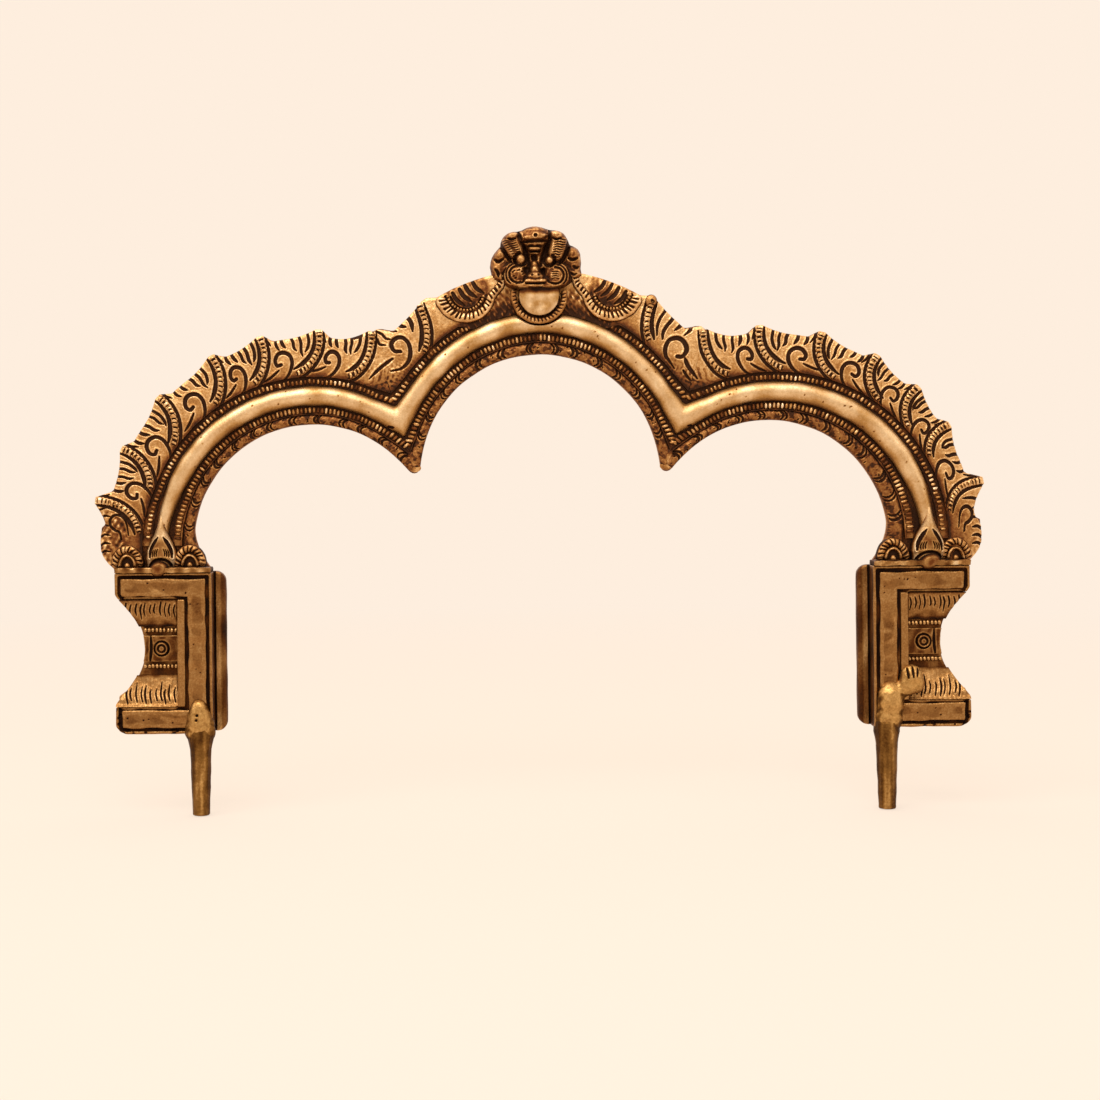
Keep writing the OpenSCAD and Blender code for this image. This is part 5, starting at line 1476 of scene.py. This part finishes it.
for hand, side in bothSides:
    seed = 80 + hand
    slab = solidCopy(side + "_back_slab", "slab", slabLook["voxel"], 7)
    dent(slab, slabLook["dent"], slabLook["wave"], seed)
    p = readPoints(slab)
    reach, front = np.abs(p[:, 0]), ease(*slabLook["front"], p[:, 1])
    bite = ease(*slabLook["groove"][:2], reach) * fall(*slabLook["groove"][2:], reach)
    p[:, 1] -= front * (slabLook["edgeDrop"] * fall(*slabLook["edge"], reach) + slabLook["grooveDrop"] * bite)
    writePoints(slab, p)
    rim = ease(*slabLook["rim"], reach) * (1 - bite)
    darkness = 0.3 + front * (0.4 * bite - 0.3 * rim) + (0.07 + 0.13 * front) * patchy(p, 9, seed)
    darkness += 0.12 * fall(*slabLook["edgeDirt"], reach)
    stainAndShade(slab, darkness - 0.34 * fall(0.3, 1.2, p[:, 1]))
    finish(slab, side + "BackSlab", blockBrass, "block_brass", [side + "_back_slab"])

    block = solidCopy(side + "_block", "block", blockLook["voxel"], 4)
    dent(block, blockLook["dent"], blockLook["wave"], seed)
    p = readPoints(block)
    rng = np.random.default_rng(seed)
    pits = pitPaths(rng, 13, lambda g: (hand * g.uniform(90, 105.8), g.uniform(0.2, 1.5)), 0.5)
    pits += pitPaths(rng, 9, lambda g: (hand * g.uniform(104.6, 105.9), g.uniform(0.5, 7.5)), 0.5)
    soot = 0.66 * chisel(p, pits, 0.35, 0.2, 0.4)
    roundOff(p)
    writePoints(block, p)
    low = hollows(block, 22)
    groove = fall(6.8, 7.4, p[:, 1]) * (0.66 + 0.3 * patchy(p, 7, seed + 6))
    worn = 0.8 * ease(0.02, 0.12, -low)
    flank = 0.34 * ease(0.3, 1.2, p[:, 1]) - 0.14 - 0.25 * worn
    darkness = np.where(p[:, 1] > 6.5, groove - worn, flank) + 0.14
    stainAndShade(block, np.maximum(soot, darkness + 0.14 * patchy(p, 5, seed)))
    finish(block, side + "Block", blockBrass, "block_brass", [side + "_block"])

    strip = solidCopy(side + "_frame_strip", "strip", stripLook["voxel"], 4)
    spread(strip, blockLook["tighter"], 9, seed + 2)
    dent(strip, stripLook["dent"], stripLook["wave"], seed + 1)
    p = readPoints(strip)

    def onBars(g):
        x = hand * g.uniform(*stripLook["bars"])
        return x, g.choice([g.uniform(*stripLook["top"]), g.uniform(*stripLook["bottom"])])
    pits = pitPaths(rng, 8, onBars, 0.3)
    pits += pitPaths(rng, 5, lambda g: (hand * g.uniform(*stripLook["upright"]), g.uniform(10, 36)), 0.26)
    soot = 0.8 * chisel(p, pits, 0.3, 0.14, 0.2)
    roundOff(p)
    writePoints(strip, p)
    low = hollows(strip, 22)
    smear = 0.22 * ease(0.0, 0.8, uneven(p[:, 0] * 0.6, p[:, 2] * 1.5, 4, seed + 8))
    flanks = fall(6.8, 7.4, p[:, 1]) * (0.6 + 0.26 * patchy(p, 7, seed + 6))
    darkness = flanks - smear - 0.8 * ease(0.02, 0.12, -low) + 0.1 * patchy(p, 7, seed) + 0.12
    stainAndShade(strip, np.maximum(soot, darkness))
    finish(strip, side + "FrameStrip", blockBrass, "block_brass", [side + "_frame_strip"])

    panel = solidCopy(side + "_waist_panel", "panel", panelLook["voxel"], 3)
    dent(panel, panelLook["dent"], panelLook["wave"], seed + 3)
    p = readPoints(panel)
    (x, z), r, wide = panelLook["boss"], panelLook["ring"], panelLook["ringWide"]
    lines = [smoothLine([(hand * lx, lz) for lx, lz in panelLook["line"]], panelLook["lineWide"], 4)]
    turns = np.linspace(0, math.tau, 25)
    lines.append([(hand * x + r * math.cos(a), z + r * math.sin(a), wide) for a in turns])
    soot = 0.85 * chisel(p, lines, 0.4, 0.14, 0.4, 0.06)
    writePoints(panel, p)
    low = hollows(panel, 10)
    darkness = 0.18 + 0.4 * ease(0.02, 0.12, low) - 0.45 * ease(0.01, 0.07, -low) + 0.6 * fall(5.2, 5.7, p[:, 1])
    stainAndShade(panel, np.maximum(soot, darkness + 0.14 * patchy(p, 3, seed)))
    finish(panel, side + "WaistPanel", blockBrass, "block_brass", [side + "_waist_panel"])

    ledge = solidCopy(side + "_ledge", "ledge", ledgeLook["voxel"], 5)
    for k, (depth, wave) in enumerate(ledgeLook["dents"]):
        dent(ledge, depth, wave, seed + 4 + k)
    p = readPoints(ledge)
    stainAndShade(ledge, 0.02 + 0.5 * fall(8.2, 8.8, p[:, 1]) + 0.26 * patchy(p, 4, seed))
    finish(ledge, side + "Ledge", blockBrass, "bright_brass", [side + "_ledge"])

for place in ("upper", "lower"):
    cove, title = coveSheet(place), place.title() + "Cove"
    finish(cove, "right" + title, blockBrass, "block_brass", ["right_" + place + "_cove"])
    finish(mirrorCopy(cove), "left" + title, blockBrass, "block_brass", ["left_" + place + "_cove"])
pearls = pearlRows()
finish(pearls, "rightWaistPearls", blockBrass, "block_brass", ["right_waist_pearls"], 80)
finish(mirrorCopy(pearls), "leftWaistPearls", blockBrass, "block_brass", ["left_waist_pearls"], 80)
print("foot blocks ready")

# the pegs: filed rods, thinner towards the end, each in a lump of braze
pegLook = {"x": 85.12, "end": -20.25, "endR": 2.15, "sides": 14,
           "steps": ((-12, 2.4), (-6, 2.58), (-4, 2.7), (-2.4, 3.0), (-1.2, 3.25), (1.5, 3.1))}
brazeLook = {
    "voxel": 0.22, "facet": 9.7, "rounds": 34,
    -1: ((85.2, 0.4, 7.0, 4.1, 3.2, 3.0), (85.2, 1.9, 7.3, 3.9, 3.8, 3.0), (85.3, 3.5, 7.5, 3.3, 4.0, 2.95),
         (85.4, 5.2, 7.6, 2.5, 3.6, 2.85), (85.12, -1.0, 7.0, 3.3, 2.6, 3.0)),
    1: ((86.0, 6.3, 7.4, 3.6, 5.2, 3.1), (85.6, 2.4, 7.1, 3.7, 4.4, 3.0), (85.12, -0.4, 7.0, 3.3, 2.8, 3.0),
        (91.2, 12.2, 7.6, 3.0, 3.4, 2.8), (90.4, 10.4, 7.6, 2.7, 2.7, 2.7),
        (92.4, 10.8, 7.4, 2.2, 2.6, 2.5), (88.6, 9.2, 7.2, 2.2, 2.4, 2.3)),
    "cuts": {-1: ((85.6, 4.6, 85.7, 4.8, 0.5), (85.8, 3.5, 85.9, 3.6, 0.5)),
             1: ((89.9, 14.6, 90.1, 12.2, 0.5), (91.2, 15.0, 91.3, 12.4, 0.5),
                 (92.5, 14.6, 92.3, 12.6, 0.45))},
}

for hand, side in bothSides:
    x = hand * pegLook["x"]
    bpy.ops.object.select_all(action="DESELECT")
    bpy.ops.mesh.primitive_cylinder_add(vertices=pegLook["sides"], radius=pegLook["endR"] * mm, depth=1 * mm,
                                        location=(x * mm, 0, (pegLook["end"] + 0.5) * mm))
    peg = bpy.context.object
    bpy.ops.object.transform_apply(location=True, rotation=True, scale=True)
    startEdit(peg)
    bpy.ops.mesh.select_mode(type="FACE")
    bpy.ops.mesh.select_all(action="DESELECT")
    endEdit()
    top = max(peg.data.polygons, key=lambda f: f.center.z)
    top.select = True
    bpy.ops.object.mode_set(mode="EDIT")
    here, wide = pegLook["end"] + 1, pegLook["endR"]
    for goal, radius in pegLook["steps"]:
        bpy.ops.mesh.extrude_region_move(TRANSFORM_OT_translate={"value": (0, 0, (goal - here) * mm)})
        bpy.ops.transform.resize(value=(radius / wide, radius / wide, 1),
                                 center_override=(x * mm, 0, goal * mm))
        here, wide = goal, radius
    bpy.ops.mesh.select_mode(type="VERT")
    bpy.ops.mesh.select_all(action="SELECT")
    bpy.ops.mesh.normals_make_consistent(inside=False)
    endEdit()
    bevel = peg.modifiers.new("filed", "BEVEL")
    bevel.width, bevel.segments = 0.35 * mm, 2
    bevel.limit_method, bevel.angle_limit = "ANGLE", math.radians(40)
    applyAll(peg)
    startEdit(peg)
    bpy.ops.mesh.subdivide(number_cuts=4)
    endEdit()
    dent(peg, 0.06, 3.5, 95 + hand)
    p = readPoints(peg)
    # painted shade: each rod darker towards its left and right sides, as seen from the front
    flank = ease(0.45, 1.0, np.abs(p[:, 0] - x) / 2.5)
    streaks = 0.14 * uneven(p[:, 0] * 5, p[:, 2] * 0.4, 7, 96 + hand)
    stainAndShade(peg, 0.2 + 0.3 * flank + streaks + 0.04 * ease(-5, 0, p[:, 2]) + 0.1 * patchy(p, 4, 93))
    finish(peg, side + "Peg", pegBrass, "peg_brass", [side + "_peg"], 22)

    parts = [bead(hand * bx, h, z, rx, rz, rh, 0.0, 12) for bx, z, h, rx, rz, rh in brazeLook[hand]]
    braze = melt(parts, brazeLook["voxel"], brazeLook["rounds"])
    dent(braze, 0.07, 2.8, 97 + hand)
    dent(braze, 0.03 if hand < 0 else 0.045, 1.2, 99 + hand)
    p = readPoints(braze)
    # the left lump is rubbed flat at a slant
    facet = brazeLook["facet"] - (0.16 * (p[:, 2] - 4.8) if hand < 0 else -0.5)
    p[:, 1] = np.minimum(p[:, 1], facet + 0.3 * np.tanh((p[:, 1] - facet) / 0.4))
    lines = []
    for x0, z0, x1, z1, wide in brazeLook["cuts"][hand]:
        lines.append(smoothLine([(hand * x0, z0), (hand * x1, z1)], wide, 3))
    soot = 0.85 * chisel(p, lines, 0.5, 0.18, 0.3)
    writePoints(braze, p)
    low = hollows(braze, 14)
    rubbed = 0.42 * ease(8.8, 10.0, p[:, 1]) * ease(-1.0, 2.0, p[:, 2])
    if hand < 0:
        rubbed += 0.3 * fall(0.7, 1.1, np.hypot((p[:, 0] + 85.5) / 1.7, (p[:, 2] - 4.8) / 2.7))
    plain = 0.2 if hand < 0 else 0.28 - 0.6 * ease(8.0, 9.5, p[:, 2])
    # darker towards the bottom, and painted shade on the lump's sides where they fall back towards the block
    darkness = plain + 0.34 * fall(-2.4, 1.5, p[:, 2]) - rubbed + 0.5 * fall(7.0, 9.2, p[:, 1])
    darkness = darkness + 0.5 * ease(0.02, 0.15, low) - 0.2 * ease(0.01, 0.1, -low)
    stainAndShade(braze, np.maximum(soot, darkness + 0.16 * patchy(p, 3, 98) + 0.08 * patchy(p, 0.9, 94)))
    finish(braze, side + "Braze", pegBrass, "peg_brass", [side + "_braze"], 60)
print("pegs ready")

# camera at the photo's place: a little left of the middle, looking straight at the plate
cameraLook = {"spot": (-20.0, -500.0, 67.0), "planeY": 3.6, "middle": (2.175, 44.48), "wide": 275.0,
              "tilt": 0.57, "sensor": 36.0}
spot = Vector(cameraLook["spot"]) * mm
bpy.ops.object.camera_add(location=spot)
camera = bpy.context.object
camera.name = "photoCamera"
camera.data.sensor_width = cameraLook["sensor"]
camera.data.lens = cameraLook["sensor"] * (cameraLook["planeY"] - cameraLook["spot"][1]) / cameraLook["wide"]
camera.data.clip_start, camera.data.clip_end = 0.01, 50.0
tilt = math.radians(cameraLook["tilt"])
aside = cameraLook["middle"][0] - cameraLook["spot"][0]
above = cameraLook["middle"][1] - cameraLook["spot"][2]
camera.data.shift_x = (aside * math.cos(tilt) - above * math.sin(tilt)) / cameraLook["wide"]
camera.data.shift_y = (aside * math.sin(tilt) + above * math.cos(tilt)) / cameraLook["wide"]
turned = Matrix.Rotation(math.radians(90), 3, "X") @ Matrix.Rotation(-tilt, 3, "Z")
camera.rotation_euler = turned.to_euler()
bpy.context.scene.camera = camera

# pale floor under the pegs: pale to the camera, with the object's shadow left in near it
stageLook = {"paper": "#FEEEDE", "dull": "#CFC2B4", "floorM": 12, "floorZ": -20.4, "shadow": 0.3,
             "shadowM": (0.1, 0.7), "seenInMetal": 0.4}


# how much of the pale backdrop a ray meets: the camera the given share of it, metal and glass a smaller part
def paleShare(tree, inMetal, share=None):
    path = addNode(tree, "ShaderNodeLightPath")
    direct = path.outputs["Is Camera Ray"]
    if share is not None:
        direct = mathNode(tree, "MULTIPLY", direct, share)
    other = mathNode(tree, "MAXIMUM", path.outputs["Is Glossy Ray"], path.outputs["Is Transmission Ray"])
    return mathNode(tree, "MAXIMUM", direct, mathNode(tree, "MULTIPLY", other, inMetal))


bpy.ops.object.select_all(action="DESELECT")
bpy.ops.mesh.primitive_plane_add(size=stageLook["floorM"], location=(0, 0, stageLook["floorZ"] * mm))
floor = bpy.context.object
floor.name = "paleFloor"
paper = bpy.data.materials.new("palePaper")
paper.use_nodes = True
tree = paper.node_tree
tree.nodes.clear()
place = addNode(tree, "ShaderNodeTexCoord").outputs["Object"]
reach = addNode(tree, "ShaderNodeVectorMath", {"operation": "LENGTH"}, {0: place}).outputs["Value"]
share = mapped(tree, reach, stageLook["shadowM"], (1 - stageLook["shadow"], 1.0))
seen = paleShare(tree, stageLook["seenInMetal"], share)
dull = addNode(tree, "ShaderNodeBsdfDiffuse", {"Color": linear(stageLook["dull"])})
glow = addNode(tree, "ShaderNodeEmission", {"Color": linear(stageLook["paper"]), "Strength": 1.0})
mix = addNode(tree, "ShaderNodeMixShader", None, {0: seen, 1: dull.outputs[0], 2: glow.outputs[0]})
addNode(tree, "ShaderNodeOutputMaterial", None, {"Surface": mix.outputs[0]})
floor.data.materials.append(paper)
floor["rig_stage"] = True

# a pale room: bright above, dim below, dimmer behind the camera than behind the object
roomLook = {"depth": (-0.4, 0.6), "depthLevel": (0.156, 0.778), "up": (-0.3, 0.5), "upLevel": (-0.289, 1.167),
            "seenInMetal": 0.1}
world = bpy.data.worlds.new("studioRoom")
bpy.context.scene.world = world
world.use_nodes = True
tree = world.node_tree
tree.nodes.clear()
direction = addNode(tree, "ShaderNodeTexCoord").outputs["Generated"]
split = addNode(tree, "ShaderNodeSeparateXYZ", None, {0: direction})
depth = mapped(tree, split.outputs["Y"], roomLook["depth"], roomLook["depthLevel"])
lift = mapped(tree, split.outputs["Z"], roomLook["up"], roomLook["upLevel"])
level = mathNode(tree, "ADD", depth, lift)
seen = paleShare(tree, roomLook["seenInMetal"])
strength = addNode(tree, "ShaderNodeMix", {"data_type": "FLOAT"}, {"Factor": seen, "A": level})
strength.inputs["B"].default_value = 1.0
back = addNode(tree, "ShaderNodeBackground", {"Color": linear(stageLook["paper"])},
               {"Strength": strength.outputs[0]})
addNode(tree, "ShaderNodeOutputWorld", None, {"Surface": back.outputs[0]})

# two soft boxes: the main one above and in front, a weaker one from the other side
lightLook = {
    "keyBox": {"spot": (-0.25, -0.55, 0.8), "size": (1.1, 0.5), "power": 7.5},
    "sideBox": {"spot": (0.95, -0.6, 0.35), "size": (0.4, 0.8), "power": 1.2},
}
for name, lamp in lightLook.items():
    bpy.ops.object.light_add(type="AREA", location=lamp["spot"])
    box = bpy.context.object
    box.name = name
    box.data.shape = "RECTANGLE"
    box.data.size, box.data.size_y = lamp["size"]
    box.data.energy = lamp["power"]
    box.rotation_euler = (Vector((0, 0, 0.06)) - Vector(lamp["spot"])).to_track_quat("-Z", "Y").to_euler()

bpy.context.scene.view_settings.view_transform = "Standard"
low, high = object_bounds()
print("visual box mm", [round(v / mm, 2) for v in low], [round(v / mm, 2) for v in high])
